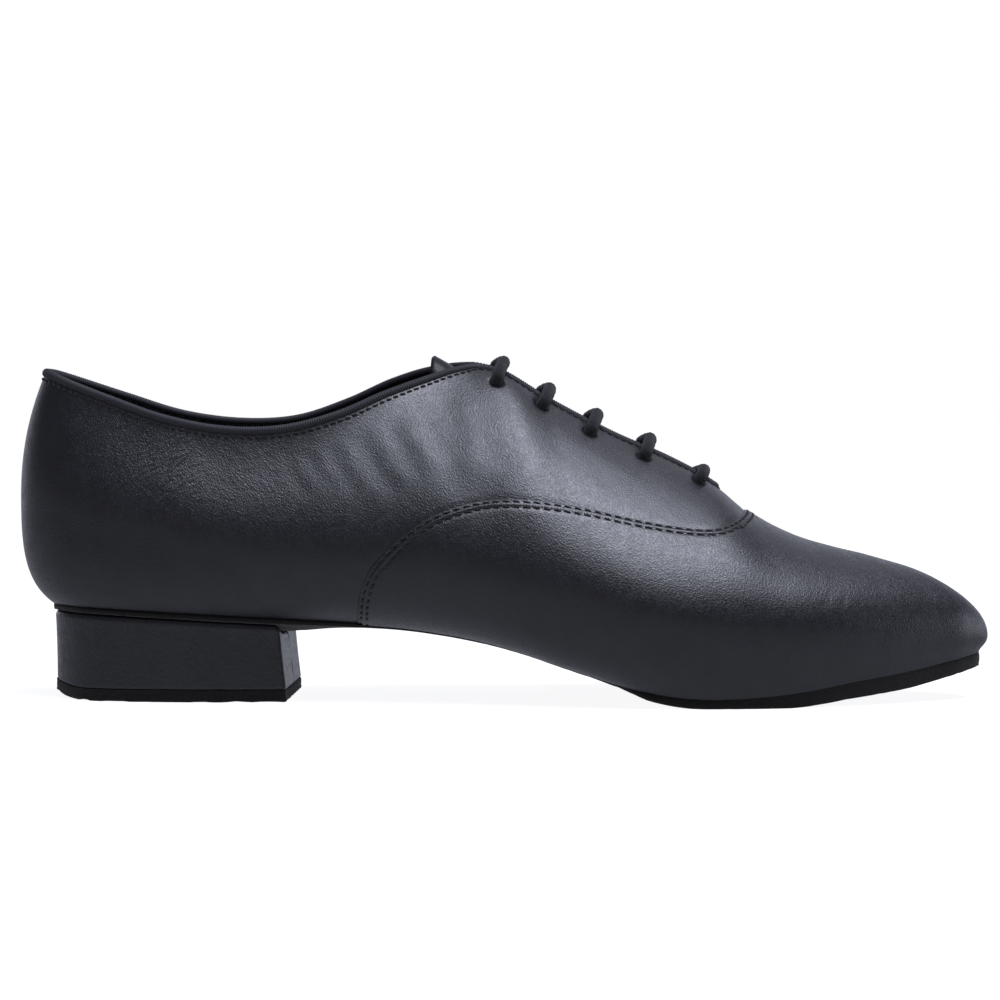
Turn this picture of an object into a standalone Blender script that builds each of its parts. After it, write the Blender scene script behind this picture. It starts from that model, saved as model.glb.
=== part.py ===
"""Ballroom dance shoe for the right foot: a closed-lace leather Oxford with a suede forepart sole and a 25 mm heel.

Metres. +X points to the toe, +Y to the inner (medial) side of the foot, +Z up. The origin is on the floor,
under the middle of the heel.
"""

import math

import bmesh
import bpy
import numpy as np
from mathutils import Matrix, Vector

MM = 0.001

# Driving sizes of the last
LENGTH = 292 * MM  # heel counter to toe tip
BALL_WIDTH = 97.5 * MM  # widest girth of the upper, outer plus inner half
INSTEP_HEIGHT = 85 * MM  # top of the facing above the seat line
HEEL_RISE = 25.5 * MM  # heel end of the seat line above the ball
TOE_SPRING = 11.2 * MM  # toe end of the seat line above the ball
INNER_RISE = 4.3 * MM  # inner topline above the outer one, where they differ most
BELLY = 3.8 * MM  # depth of the round bottom under the seat line

# Upper
WALL = 2.0 * MM  # leather and lining together
VAMP_LAP = 0.8 * MM  # the vamp's leather, lapped over the quarters
VAMP_BITE = 0.6 * MM  # how deep the vamp layer is fused into the wall
FACING_GAP = 6.4 * MM  # between the two facings' leather edges
BINDING_WIDTH = 2.6 * MM  # ribbed tape rolled over the top edge

# Lacing
EYELET_WIDTH = 4.0 * MM
EYELET_INSET = 7.6 * MM  # from the facing's edge, down the surface
EYELET_SHARES = (-0.015, 0.195, 0.424, 0.678, 0.926)  # along the facing, from its top corner to the throat
LACE_WIDTH = 3.0 * MM
LACE_LEAN = 1.2 * MM  # middle of each bar ahead of its eyelets
LACE_ARCH = 3.15 * MM  # height of the bars over the ridge line
LACE_DIP = 1.3 * MM  # how far a bar goes down into its eyelets

# Tongue
TONGUE_THICKNESS = 1.8 * MM
TONGUE_DROP = 2.0 * MM  # clear space between facing and tongue
TONGUE_REACH = 16.0 * MM  # down each side, along the surface
TAB_LENGTH = 18.5 * MM  # pull tab, behind the top corner of the facing
TAB_WIDTH = 13.0 * MM
TAB_CURVE = 14.0 * MM  # radius across the tab

# Soles and heel
INSOLE_THICKNESS = 1.5 * MM
SOLE_THICKNESS = 2.5 * MM  # suede sole under the ball
SOLE_LAP = 0.8 * MM  # edge of the sole outside the seat line at the forepart
SOLE_TUCK = 1.2 * MM  # and inside it at the waist
LIFT_THICKNESS = 3.6 * MM
LIFT_INSET = 0.5 * MM
BLOCK_INSET = 0.5 * MM
BLOCK_TAPER = 0.5 * MM
HEEL_BEVEL = 2.6 * MM  # how far the back of the heel is rounded up from the floor
HEEL_BEVEL_LENGTH = 13.0 * MM
BREAST_LEAN = 2.0 * MM  # foot of the heel breast ahead of its top
EDGE = 0.9 * MM  # rounding of the covered heel's edges

GAP = 0.3 * MM  # between touching pieces

# Each rib runs from the seat line over the widest line to the top line. x is a share of LENGTH, out and in are
# half widths as shares of BALL_WIDTH, high is a share of INSTEP_HEIGHT above the seat line, angles are degrees.
SEAT_COLUMNS = "x out in pitch spring belly flare"
SEAT = [
    (0.035, 0.000, 0.000, 1.000, 0.00, 0.00, 34),
    (0.042, 0.125, 0.125, 1.000, 0.00, 0.12, 35),
    (0.065, 0.215, 0.215, 0.992, 0.00, 0.36, 36),
    (0.103, 0.267, 0.267, 0.973, 0.00, 0.60, 38),
    (0.158, 0.287, 0.287, 0.941, 0.00, 0.75, 40),
    (0.216, 0.292, 0.282, 0.906, 0.00, 0.87, 38),
    (0.277, 0.272, 0.262, 0.867, 0.00, 0.95, 32),
    (0.342, 0.241, 0.215, 0.827, 0.00, 0.40, 20),
    (0.411, 0.236, 0.195, 0.765, 0.00, 0.22, 14),
    (0.473, 0.262, 0.210, 0.655, 0.00, 0.16, 10),
    (0.521, 0.302, 0.248, 0.525, 0.00, 0.10, 8),
    (0.568, 0.350, 0.300, 0.355, 0.00, 0.05, 12),
    (0.616, 0.404, 0.354, 0.192, 0.00, 0.02, 28),
    (0.664, 0.446, 0.405, 0.050, 0.00, 0.03, 50),
    (0.712, 0.455, 0.433, 0.000, 0.00, 0.00, 58),
    (0.760, 0.438, 0.431, 0.000, 0.04, 0.00, 62),
    (0.808, 0.395, 0.405, 0.000, 0.17, 0.00, 66),
    (0.856, 0.328, 0.349, 0.000, 0.38, 0.00, 68),
    (0.901, 0.247, 0.277, 0.000, 0.54, 0.00, 70),
    (0.942, 0.162, 0.197, 0.000, 0.73, 0.00, 72),
    (0.973, 0.090, 0.121, 0.000, 0.89, 0.00, 74),
    (0.991, 0.000, 0.000, 0.000, 1.00, 0.00, 76),
]
WIDE_COLUMNS = "x out in high side"
WIDE = [
    (0.000, 0.000, 0.000, 0.380, 0.36),
    (0.012, 0.138, 0.138, 0.375, 0.36),
    (0.041, 0.236, 0.236, 0.350, 0.36),
    (0.089, 0.303, 0.303, 0.310, 0.36),
    (0.151, 0.338, 0.333, 0.275, 0.36),
    (0.212, 0.359, 0.344, 0.250, 0.36),
    (0.277, 0.369, 0.349, 0.235, 0.36),
    (0.342, 0.385, 0.354, 0.235, 0.34),
    (0.401, 0.402, 0.366, 0.240, 0.32),
    (0.449, 0.424, 0.384, 0.260, 0.31),
    (0.490, 0.448, 0.400, 0.275, 0.27),
    (0.534, 0.476, 0.418, 0.290, 0.26),
    (0.586, 0.506, 0.440, 0.292, 0.26),
    (0.640, 0.528, 0.463, 0.282, 0.26),
    (0.695, 0.525, 0.475, 0.262, 0.26),
    (0.743, 0.500, 0.473, 0.236, 0.28),
    (0.793, 0.455, 0.446, 0.205, 0.28),
    (0.846, 0.378, 0.392, 0.168, 0.29),
    (0.896, 0.288, 0.317, 0.136, 0.30),
    (0.942, 0.192, 0.227, 0.104, 0.31),
    (0.978, 0.107, 0.140, 0.078, 0.32),
    (1.000, 0.000, 0.000, 0.056, 0.25),
]
# The last column is the slope of the surface at the top line, over and above the slope of the ridge itself.
TOP_COLUMNS = "x out in high lift crown slope"
TOP = [
    (0.024, 0.000, 0.000, 0.802, 0.00, 0.35, 68),
    (0.031, 0.097, 0.097, 0.796, 0.00, 0.35, 70),
    (0.053, 0.159, 0.159, 0.768, 0.10, 0.35, 72),
    (0.099, 0.210, 0.210, 0.715, 0.20, 0.35, 74),
    (0.158, 0.246, 0.246, 0.656, 0.30, 0.35, 76),
    (0.219, 0.254, 0.254, 0.628, 0.50, 0.35, 76),
    (0.281, 0.251, 0.251, 0.643, 0.65, 0.35, 75),
    (0.339, 0.226, 0.226, 0.707, 0.90, 0.34, 70),
    (0.387, 0.179, 0.179, 0.799, 0.90, 0.30, 60),
    (0.426, 0.128, 0.128, 0.884, 0.70, 0.26, 49),
    (0.461, 0.072, 0.072, 0.964, 0.25, 0.21, 37),
    (0.491, 0.000, 0.000, 1.025, 0.00, 0.19, 0),
    (0.551, 0.000, 0.000, 0.959, 0.00, 0.19, 0),
    (0.613, 0.000, 0.000, 0.890, 0.00, 0.20, 0),
    (0.673, 0.000, 0.000, 0.814, 0.00, 0.22, 0),
    (0.715, 0.000, 0.000, 0.729, 0.00, 0.27, 0),
    (0.758, 0.000, 0.000, 0.592, 0.00, 0.34, 0),
    (0.800, 0.000, 0.000, 0.488, 0.00, 0.40, 0),
    (0.839, 0.000, 0.000, 0.425, 0.00, 0.43, 0),
    (0.873, 0.000, 0.000, 0.372, 0.00, 0.43, 0),
    (0.898, 0.000, 0.000, 0.327, 0.00, 0.42, 0),
    (0.912, 0.000, 0.000, 0.299, 0.00, 0.42, 0),
]
CORNER_RIB = 11  # top corner of the facing
THROAT_RIB = 15  # where the throat starts to round off
BREAST_RIB = 6  # heel breast
SEAT_REACH = 0.34  # handle lengths under the widest line, as shares of that stretch's chord
WIDE_REACH = 0.42

# Rows of the tongue's pull tab: how far behind and above the facing's top corner, as shares of TAB_LENGTH, and
# its width as a share of TAB_WIDTH
TAB_COLUMNS = "back up width"
TAB = [
    (0.00, -0.190, 0.70),
    (0.27, -0.155, 0.58),
    (0.48, -0.060, 0.58),
    (0.73, 0.100, 0.85),
    (1.00, 0.300, 1.00),
]

# Thickness of the sole along its length, and how far its edge is moved from the tuck (0) to the lap (1)
SOLE_COLUMNS = "x thick lap"
SOLE = [
    (0.03, 0.52, 0.60),
    (0.28, 0.52, 0.60),
    (0.36, 0.42, 0.00),
    (0.60, 0.36, 0.00),
    (0.625, 0.52, 0.40),
    (0.65, 0.92, 1.00),
    (0.70, 1.08, 1.00),
    (0.76, 1.40, 1.00),
    (0.82, 1.70, 1.00),
    (0.87, 1.85, 1.00),
    (0.92, 1.92, 1.00),
    (0.96, 1.75, 1.00),
    (1.00, 1.60, 1.00),
]

# The seam between vamp and quarters in side view: shares of LENGTH, and of INSTEP_HEIGHT above the ball's seat
SEAM_COLUMNS = "x high"
SEAM = [
    (0.352, 0.10),
    (0.356, 0.23),
    (0.361, 0.34),
    (0.371, 0.43),
    (0.385, 0.49),
    (0.405, 0.555),
    (0.432, 0.617),
    (0.465, 0.660),
    (0.500, 0.680),
    (0.540, 0.676),
    (0.590, 0.648),
    (0.640, 0.609),
    (0.685, 0.582),
    (0.715, 0.575),
    (0.734, 0.592),
    (0.750, 0.625),
    (0.764, 0.680),
]

RIBS_BETWEEN = 2  # mesh columns from one rib of the tables to the next
ROWS_BELOW = 4
ROWS_ABOVE = 7


def last_sizes():
    """The guide values of every rib, in order round the shoe: heel back, outer side, toe, inner side."""
    outer = [rib_values(k, -1) for k in range(len(SEAT))]
    inner = [rib_values(k, 1) for k in range(len(SEAT) - 2, 0, -1)]
    return np.array(outer + inner)


def rib_values(k, side):
    """Seat, wide and top points of rib k on one side (-1 outer, 1 inner), then its angles and reaches."""
    seat_x, seat_out, seat_in, pitch, spring, belly, flare = SEAT[k]
    wide_x, wide_out, wide_in, wide_high, wide_side = WIDE[k]
    top_x, top_out, top_in, top_high, lift, crown, slope = TOP[k]
    halves = (seat_out, wide_out, top_out) if side < 0 else (seat_in, wide_in, top_in)
    seat_y, wide_y, top_y = (side * half * BALL_WIDTH for half in halves)
    seat_z = SOLE_THICKNESS + GAP + pitch * HEEL_RISE + spring * TOE_SPRING
    top_z = seat_z + top_high * INSTEP_HEIGHT + (lift * INNER_RISE if side > 0 else 0)
    return [
        *(seat_x * LENGTH, seat_y, seat_z),
        *(wide_x * LENGTH, wide_y, seat_z + wide_high * INSTEP_HEIGHT),
        *(top_x * LENGTH, top_y, top_z),
        *(math.radians(flare), wide_side, crown, math.radians(slope), belly * BELLY),
    ]


RING = last_sizes()
CORNER_X = TOP[CORNER_RIB][0] * LENGTH
THROAT_X = TOP[THROAT_RIB][0] * LENGTH
TIP_FALL = math.tan(math.radians(-20))  # slope of the ridge where it meets the toe's middle rib
HALF = len(SEAT) - 1  # ring position of the toe tip
STEPS = np.linalg.norm(np.roll(RING[:, 3:5], -1, 0) - RING[:, 3:5], axis=1)
STEPS = (STEPS + STEPS[::-1]) / 2  # both sides share their spacing, so that their ribs meet on the ridge


def ring_values(position):
    """Guide values at any position round the ring: a smooth curve through the ribs of the tables."""
    count = len(RING)
    k = int(math.floor(position)) % count
    t = position - math.floor(position)
    before, here, after, beyond = (RING[(k + n) % count] for n in (-1, 0, 1, 2))
    step_in, step, step_out = (STEPS[(k + n) % count] for n in (-1, 0, 1))
    slope_here = ((here - before) / step_in * step + (after - here) / step * step_in) / (step_in + step)
    slope_after = ((after - here) / step * step_out + (beyond - after) / step_out * step) / (step + step_out)
    t2, t3 = t * t, t * t * t
    return (
        (2 * t3 - 3 * t2 + 1) * here
        + (t3 - 2 * t2 + t) * step * slope_here
        + (3 * t2 - 2 * t3) * after
        + (t3 - t2) * step * slope_after
    )


def throat_half_gap(x):
    """Half the width of the throat at x: parallel facings and a round end."""
    half = FACING_GAP / 2
    past = (x - TOP[THROAT_RIB][0] * LENGTH) / half
    if past <= 0:
        return half
    return half * math.sqrt(max(0.0, 1 - past * past))


def ridge_share(x):
    """How far the ridge's fall shapes the ribs at x: not at the collar, wholly from the facing's top on."""
    return min(1.0, max(0.0, (x - CORNER_X) / (20 * MM)))


class Rib:
    """One rib of the upper: its outer surface from the seat line (0) over the widest line (1) to the top (2)."""

    def __init__(self, position):
        values = ring_values(position)
        self.side = -1 if position <= HALF else 1
        self.seat, self.wide, self.ridge = (Vector(values[n : n + 3]) for n in (0, 3, 6))
        flare, reach_up, crown, slope, self.belly = values[9:]
        fall = 0.0
        if self.ridge.x >= CORNER_X:
            self.ridge.y = 0
            ahead, behind = ring_values(position + 0.05), ring_values(position - 0.05)
            fall = (ahead[8] - behind[8]) / (ahead[6] - behind[6]) if position != HALF else TIP_FALL
        self.out = plan_direction(self.seat, self.wide)
        inward = plan_direction(self.wide, self.ridge)
        climb = inward.x * fall * ridge_share(self.ridge.x) + math.tan(slope)
        top_tangent = (inward + Vector((0, 0, climb))).normalized()
        seat_tangent = self.out * math.cos(flare) + Vector((0, 0, math.sin(flare)))
        chord = (self.wide - self.seat).length
        first = self.seat + seat_tangent * chord * SEAT_REACH
        second = self.wide - Vector((0, 0, chord * WIDE_REACH))
        self.lower = (self.seat, first, second, self.wide)
        chord = (self.ridge - self.wide).length
        first = self.wide + Vector((0, 0, chord * reach_up))
        second = self.ridge - top_tangent * chord * crown
        self.upper = (self.wide, first, second, self.ridge)
        self.end = self.edge_share()
        self.top = self.point(2)
        self.top_tangent = (self.top - self.point(1.98)).normalized()

    def edge_share(self):
        """How much of the upper stretch is left where the facings' edge cuts it short of the ridge."""
        if self.ridge.x < TOP[CORNER_RIB - 2][0] * LENGTH or self.clearance(1) >= 0:
            return 1.0
        low, high = 0.3, 1.0
        for _ in range(30):
            middle = (low + high) / 2
            if self.clearance(middle) > 0:
                low = middle
            else:
                high = middle
        return low

    def clearance(self, share):
        point = bezier(*self.upper, share)
        return self.side * point.y - throat_half_gap(point.x)

    def point(self, v):
        if v <= 1:
            return bezier(*self.lower, v)
        return bezier(*self.upper, (v - 1) * self.end)


def plan_direction(start, end):
    direction = Vector((end.x - start.x, end.y - start.y, 0))
    return direction.normalized()


def bezier(a, b, c, d, t):
    s = 1 - t
    return a * s**3 + b * 3 * s * s * t + c * 3 * s * t * t + d * t**3


def position_at(x, field, low, high):
    """The ring position between low and high where the guide value numbered field reaches x."""
    for _ in range(40):
        middle = (low + high) / 2
        if ring_values(middle)[field] < x:
            low = middle
        else:
            high = middle
    return (low + high) / 2


TOP_X = 6
SEAT_X = 0
HEEL_BACK_X = SEAT[0][0] * LENGTH
BREAST_X = SEAT[BREAST_RIB][0] * LENGTH + BREAST_LEAN / 2
ORIGIN_X = (HEEL_BACK_X + BREAST_X) / 2  # the part's origin, in the last's own lengths


def column_positions():
    """Ring positions of the mesh columns on the outer side, from heel back to toe tip."""
    positions = []
    for rib in range(HALF):
        if rib == THROAT_RIB:
            turn = [math.sin(math.radians(angle)) for angle in (0, 30, 60, 90)]
            ends = [THROAT_X + FACING_GAP / 2 * share for share in turn]
            positions += [float(rib)] + [position_at(x, TOP_X, rib, rib + 1) for x in ends[1:]]
            positions.append((positions[-1] + rib + 1) / 2)
        else:
            positions += [rib + n / RIBS_BETWEEN for n in range(RIBS_BETWEEN)]
    return positions + [float(HALF)]


def ring_positions():
    outer = column_positions()
    return outer + [2 * HALF - p for p in outer[-2:0:-1]]


def moved(point):
    """A point of the last, in the part's frame."""
    return Vector((point[0] - ORIGIN_X, point[1], point[2]))


def material(name, colour, roughness):
    made = bpy.data.materials.new(name)
    made.use_nodes = True
    shader = made.node_tree.nodes["Principled BSDF"]
    shader.inputs["Base Color"].default_value = (*colour, 1)
    shader.inputs["Roughness"].default_value = roughness
    return made


def collection(name):
    made = bpy.data.collections.new(name)
    bpy.context.scene.collection.children.link(made)
    return made


def mesh_object(name, points, faces, home, finish=None):
    """An object from points and faces, with double points joined and faces turned outward."""
    shape = bmesh.new()
    corners = [shape.verts.new(p) for p in points]
    for face in faces:
        shape.faces.new([corners[n] for n in face])
    bmesh.ops.remove_doubles(shape, verts=shape.verts, dist=0.01 * MM)
    bmesh.ops.recalc_face_normals(shape, faces=shape.faces)
    mesh = bpy.data.meshes.new(name)
    shape.to_mesh(mesh)
    shape.free()
    made = bpy.data.objects.new(name, mesh)
    home.objects.link(made)
    if finish:
        mesh.materials.append(finish)
        smooth(made)
    else:
        hide(made)
    return made


def smooth(made):
    made.data.shade_smooth()
    made.data.set_sharp_from_angle(angle=math.radians(40))


def hide(helper):
    helper.hide_render = True
    helper.display_type = "WIRE"


def boolean(target, other, operation):
    cut = target.modifiers.new(operation.lower() + "_" + other.name, "BOOLEAN")
    cut.object = other
    cut.operation = operation
    return cut


def applied(made):
    """Bakes an object's modifiers into its mesh."""
    graph = bpy.context.evaluated_depsgraph_get()
    mesh = bpy.data.meshes.new_from_object(made.evaluated_get(graph))
    made.modifiers.clear()
    made.data = mesh
    return made


def surface(name, ribs, heights, home):
    """The upper's outer surface over the given ribs, open at its top line and its seat line."""
    rows = len(heights)
    points = [moved(rib.point(v)) for rib in ribs for v in heights]
    faces = []
    for i in range(len(ribs)):
        j = (i + 1) % len(ribs)
        for k in range(rows - 1):
            faces.append((j * rows + k, i * rows + k, i * rows + k + 1, j * rows + k + 1))
    made = mesh_object(name, points, faces, home)
    if sum(face.normal.x * face.center.x for face in made.data.polygons) < 0:
        made.data.flip_normals()
    return made


def upper_heights(lowest=0.0):
    below = [lowest + (1 - lowest) * n / ROWS_BELOW for n in range(ROWS_BELOW)]
    return below + [1 + n / ROWS_ABOVE for n in range(ROWS_ABOVE + 1)]


def thickened(sheet, outside, inside):
    """Gives an open surface a wall from inside the surface to outside it."""
    wall = sheet.modifiers.new("wall", "SOLIDIFY")
    wall.thickness = outside + inside
    wall.offset = (outside - inside) / (outside + inside)
    return applied(sheet)


def seam_points():
    """The vamp seam in side view, as a smooth curve through its table."""
    base = SOLE_THICKNESS + GAP
    rows = [Vector((x * LENGTH, base + high * INSTEP_HEIGHT)) for x, high in SEAM]
    rows = [rows[0] * 2 - rows[1]] + rows + [rows[-1] * 2 - rows[-2]]
    points = []
    for a, b, c, d in zip(rows, rows[1:], rows[2:], rows[3:]):
        for t in (0, 0.5):
            points.append(
                ((b * 2) + (c - a) * t + (a * 2 - b * 5 + c * 4 - d) * t * t + (b * 3 - a - c * 3 + d) * t**3) / 2
            )
    return points + [rows[-2]]


def vamp_prism(cutters):
    """Everything in front of the seam and under it, as a block right across the shoe."""
    seam = seam_points()
    first, last = seam[0], seam[-1]
    rise = (last - seam[-2]).normalized() * 30 * MM
    front = LENGTH * 1.1
    below = -20 * MM
    outline = [Vector((first.x, below))] + seam + [last + rise]
    outline += [Vector((front, last.y + rise.y)), Vector((front, below))]
    count = len(outline)
    reach = BALL_WIDTH
    points = [moved((p.x, side * reach, p.y)) for side in (-1, 1) for p in outline]
    faces = [tuple(range(count)), tuple(range(2 * count - 1, count - 1, -1))]
    faces += [(k, (k + 1) % count, count + (k + 1) % count, count + k) for k in range(count)]
    return mesh_object("vamp_prism", points, faces, cutters)


def down_the_rib(rib, distance):
    """The height on a rib at this distance from the top line, along the surface."""
    v, gone, last = 2.0, 0.0, rib.point(2)
    while gone < distance and v > 1:
        v -= 0.01
        here = rib.point(v)
        gone += (here - last).length
        last = here
    return v


def surface_normal(position, v):
    """Outward normal of the upper at a ring position and height."""
    step = 0.02
    along = Rib(position + step).point(v) - Rib(position - step).point(v)
    up = Rib(position).point(min(2.0, v + step)) - Rib(position).point(v - step)
    return along.cross(up).normalized()


def eyelet_centres():
    """(point, outward normal) of each eyelet: a pair for each bar of the lace, outer side first."""
    pairs = []
    for share in EYELET_SHARES:
        position = position_at(CORNER_X + (THROAT_X - CORNER_X) * share, TOP_X, CORNER_RIB - 1, THROAT_RIB)
        pair = []
        for place in (position, 2 * HALF - position):
            v = down_the_rib(Rib(place), EYELET_INSET)
            pair.append((Rib(place).point(v), surface_normal(place, v)))
        pairs.append(pair)
    return pairs


def eyelet_pins(cutters):
    """Cutters for the ten punched eyelets, as one object."""
    shape = bmesh.new()
    for pair in eyelet_centres():
        for centre, normal in pair:
            turn = Vector((0, 0, 1)).rotation_difference(normal).to_matrix().to_4x4()
            bmesh.ops.create_cone(
                shape,
                cap_ends=True,
                segments=10,
                radius1=EYELET_WIDTH / 2,
                radius2=EYELET_WIDTH / 2,
                depth=4 * WALL,
                matrix=Matrix.Translation(moved(centre)) @ turn,
            )
    mesh = bpy.data.meshes.new("eyelet_pins")
    shape.to_mesh(mesh)
    shape.free()
    pins = bpy.data.objects.new("eyelet_pins", mesh)
    cutters.objects.link(pins)
    hide(pins)
    return pins


def make_upper(parts, cutters, leather):
    ribs = [Rib(p) for p in ring_positions()]
    upper = thickened(surface("upper", ribs, upper_heights(), parts), 0, WALL)
    layer = thickened(surface("vamp_layer", ribs, upper_heights(0.06), cutters), VAMP_LAP, VAMP_BITE)
    boolean(layer, vamp_prism(cutters), "INTERSECT")
    applied(layer)
    hide(layer)
    boolean(upper, layer, "UNION")
    applied(upper)
    boolean(upper, eyelet_pins(cutters), "DIFFERENCE")
    applied(upper)
    upper.hide_render = False
    upper.display_type = "TEXTURED"
    upper.data.materials.clear()
    upper.data.materials.append(leather)
    smooth(upper)
    return upper


def slab(name, tops, bottoms, parts, finish):
    """A closed solid between two grids of points, row by row from back to front."""
    rows, across = len(tops), len(tops[0])
    points = [moved(p) for row in tops for p in row] + [moved(p) for row in bottoms for p in row]
    under = rows * across
    faces = []
    for i in range(rows - 1):
        for k in range(across - 1):
            a, b = i * across + k, (i + 1) * across + k
            faces.append((a, b, b + 1, a + 1))
            faces.append((under + a, under + a + 1, under + b + 1, under + b))
        for k in (0, across - 1):
            a, b = i * across + k, (i + 1) * across + k
            faces.append((a, b, under + b, under + a))
    for i in (0, rows - 1):
        for k in range(across - 1):
            a = i * across + k
            faces.append((a, a + 1, under + a + 1, under + a))
    return slab_object(name, points, faces, parts, finish)


def slab_object(name, points, faces, parts, finish):
    """Joins the ends where a slab runs out to a point, and drops the faces that vanish there."""
    welded, numbers = [], []
    for p in points:
        near = next((n for n, q in enumerate(welded) if (p - q).length < 0.02 * MM), None)
        if near is None:
            near = len(welded)
            welded.append(p)
        numbers.append(near)
    kept = []
    for face in faces:
        ring = [numbers[n] for n in face]
        ring = [n for k, n in enumerate(ring) if n != ring[k - 1]]
        if len(ring) > 2:
            kept.append(ring)
    return mesh_object(name, welded, kept, parts, finish)


def seat_line():
    """The seat line in even steps from heel to toe: x, z, outer and inner half width, depth of the cup."""
    rows = []
    for n in range(10 * HALF + 1):
        outer, inner = ring_values(n / 10), ring_values(2 * HALF - n / 10)
        rows.append((outer[0], outer[2], -outer[1], inner[1], outer[13]))
    return np.array(rows).T


SEAT_LINE = seat_line()


def seat_height(x, y):
    """Height of the upper's cupped bottom over any point of the plan."""
    z, outer, inner, belly = (float(np.interp(x, SEAT_LINE[0], row)) for row in SEAT_LINE[1:])
    share = (y + outer) / max(outer + inner, GAP)
    return z - belly * 4 * max(0.0, share * (1 - share))


def seat_point(position, move):
    """A point of the seat line, moved outward in plan."""
    here = Vector(ring_values(position)[:2])
    ahead = Vector(ring_values(position + 0.1)[:2]) - Vector(ring_values(position - 0.1)[:2])
    outward = Vector((-ahead.y, ahead.x)).normalized()
    middle = Vector((LENGTH / 2, 0))
    if outward.dot(here - middle) < 0:
        outward.negate()
    return here + outward * (move(here.x) if callable(move) else move)


def bottom_rows(positions, outset, across=9):
    """Rows of points over the cupped bottom of the upper: outset is a distance, or a function of x."""
    rows = []
    for p in positions:
        ends = [seat_point(place, outset) for place in (p, 2 * HALF - p)]
        rows.append([])
        for k in range(across):
            point = ends[0].lerp(ends[1], 0.5 - 0.5 * math.cos(math.pi * k / (across - 1)))
            rows[-1].append(Vector((point.x, point.y, seat_height(point.x, point.y))))
    return rows


def shifted(rows, heights):
    return [[p + Vector((0, 0, heights(p))) for p in row] for row in rows]


def half_positions(last=None):
    return [n / 2 for n in range(int(2 * (HALF if last is None else last)) + 1)]


def sole_table(x, column):
    return float(np.interp(x / LENGTH, [row[0] for row in SOLE], [row[column] for row in SOLE]))


def sole_outset(x):
    return sole_table(x, 2) * (SOLE_LAP + SOLE_TUCK) - SOLE_TUCK


def sole_floor(point):
    """Underside of the sole under a point of the upper's bottom."""
    return max(0.0, point.z - GAP - sole_table(point.x, 1) * SOLE_THICKNESS)


def make_outsole(parts, suede):
    rows = bottom_rows(half_positions(), sole_outset)
    tops = shifted(rows, lambda p: -1.3 * GAP)
    bottoms = shifted(rows, lambda p: sole_floor(p) - p.z)
    return slab("outsole", tops, bottoms, parts, suede)


def make_insole(parts, lining):
    rows = bottom_rows(half_positions(), -(WALL + 0.6 * MM), 7)
    return slab("insole", shifted(rows, lambda p: INSOLE_THICKNESS), rows, parts, lining)


def heel_bevel(x):
    share = max(0.0, 1 - (x - HEEL_BACK_X) / HEEL_BEVEL_LENGTH)
    return HEEL_BEVEL * share * share


def heel_foot(point):
    """Where a point of the heel block's top outline comes down, with the block's taper and lean."""
    share = (point.x - HEEL_BACK_X) / (SEAT[BREAST_RIB][0] * LENGTH - HEEL_BACK_X)
    x = point.x + BLOCK_TAPER + (BREAST_LEAN - BLOCK_TAPER) * share
    half = SEAT[BREAST_RIB - 1][1] * BALL_WIDTH
    return Vector((x, point.y * (1 - BLOCK_TAPER / half), 0))


def heel_rows(inset):
    """Rows over the heel seat, with the front row straight across at the breast."""
    rows = bottom_rows(half_positions(BREAST_RIB), -inset, 9)
    for p in rows[-1]:
        p.x = SEAT[BREAST_RIB][0] * LENGTH
    return rows


def make_heel_block(parts, leather):
    rows = heel_rows(BLOCK_INSET)
    tops = shifted(rows, lambda p: sole_floor(p) - GAP - p.z)
    bottoms = [[heel_foot(p) for p in row] for row in rows]
    bottoms = shifted(bottoms, lambda p: LIFT_THICKNESS + GAP + heel_bevel(p.x))
    block = slab("heel_block", tops, bottoms, parts, leather)
    rounding = block.modifiers.new("edge", "BEVEL")
    rounding.width = EDGE
    rounding.segments = 2
    rounding.limit_method = "ANGLE"
    rounding.angle_limit = math.radians(50)
    return block


def make_heel_lift(parts, suede):
    rows = [[heel_foot(p) for p in row] for row in heel_rows(LIFT_INSET)]
    tops = shifted(rows, lambda p: LIFT_THICKNESS + heel_bevel(p.x))
    bottoms = shifted(rows, lambda p: heel_bevel(p.x))
    return slab("heel_lift", tops, bottoms, parts, suede)


def tube(name, points, width, closed, parts, finish, resolution):
    """A round cord through points, with filled ends unless it is closed."""
    curve = bpy.data.curves.new(name, "CURVE")
    curve.dimensions = "3D"
    curve.bevel_depth = width / 2
    curve.bevel_resolution = resolution
    curve.use_fill_caps = not closed
    spline = curve.splines.new("POLY")
    spline.points.add(len(points) - 1)
    for knot, point in zip(spline.points, points):
        knot.co = (*moved(point), 1)
    spline.use_cyclic_u = closed
    made = bpy.data.objects.new(name, curve)
    parts.objects.link(made)
    curve.materials.append(finish)
    return made


def make_binding(parts, tape):
    """The rolled tape along the collar, down the facings and round the throat."""
    end = THROAT_X + FACING_GAP / 2
    outer = [p for p in column_positions() if ring_values(p)[TOP_X] < end - 0.1 * MM or p < CORNER_RIB]
    outer.append(position_at(end, TOP_X, THROAT_RIB, THROAT_RIB + 1))
    loop = [Rib(p) for p in outer + [2 * HALF - p for p in outer[-2:0:-1]]]
    points = []
    for before, here, after in zip(loop[-1:] + loop[:-1], loop, loop[1:] + loop[:1]):
        along = (after.top - before.top).normalized()
        away = here.top_tangent - along * here.top_tangent.dot(along)
        points.append(here.top + away.normalized() * (1.3 * GAP + BINDING_WIDTH / 2))
    return tube("collar_binding", points, BINDING_WIDTH, True, parts, tape, 2)


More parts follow.
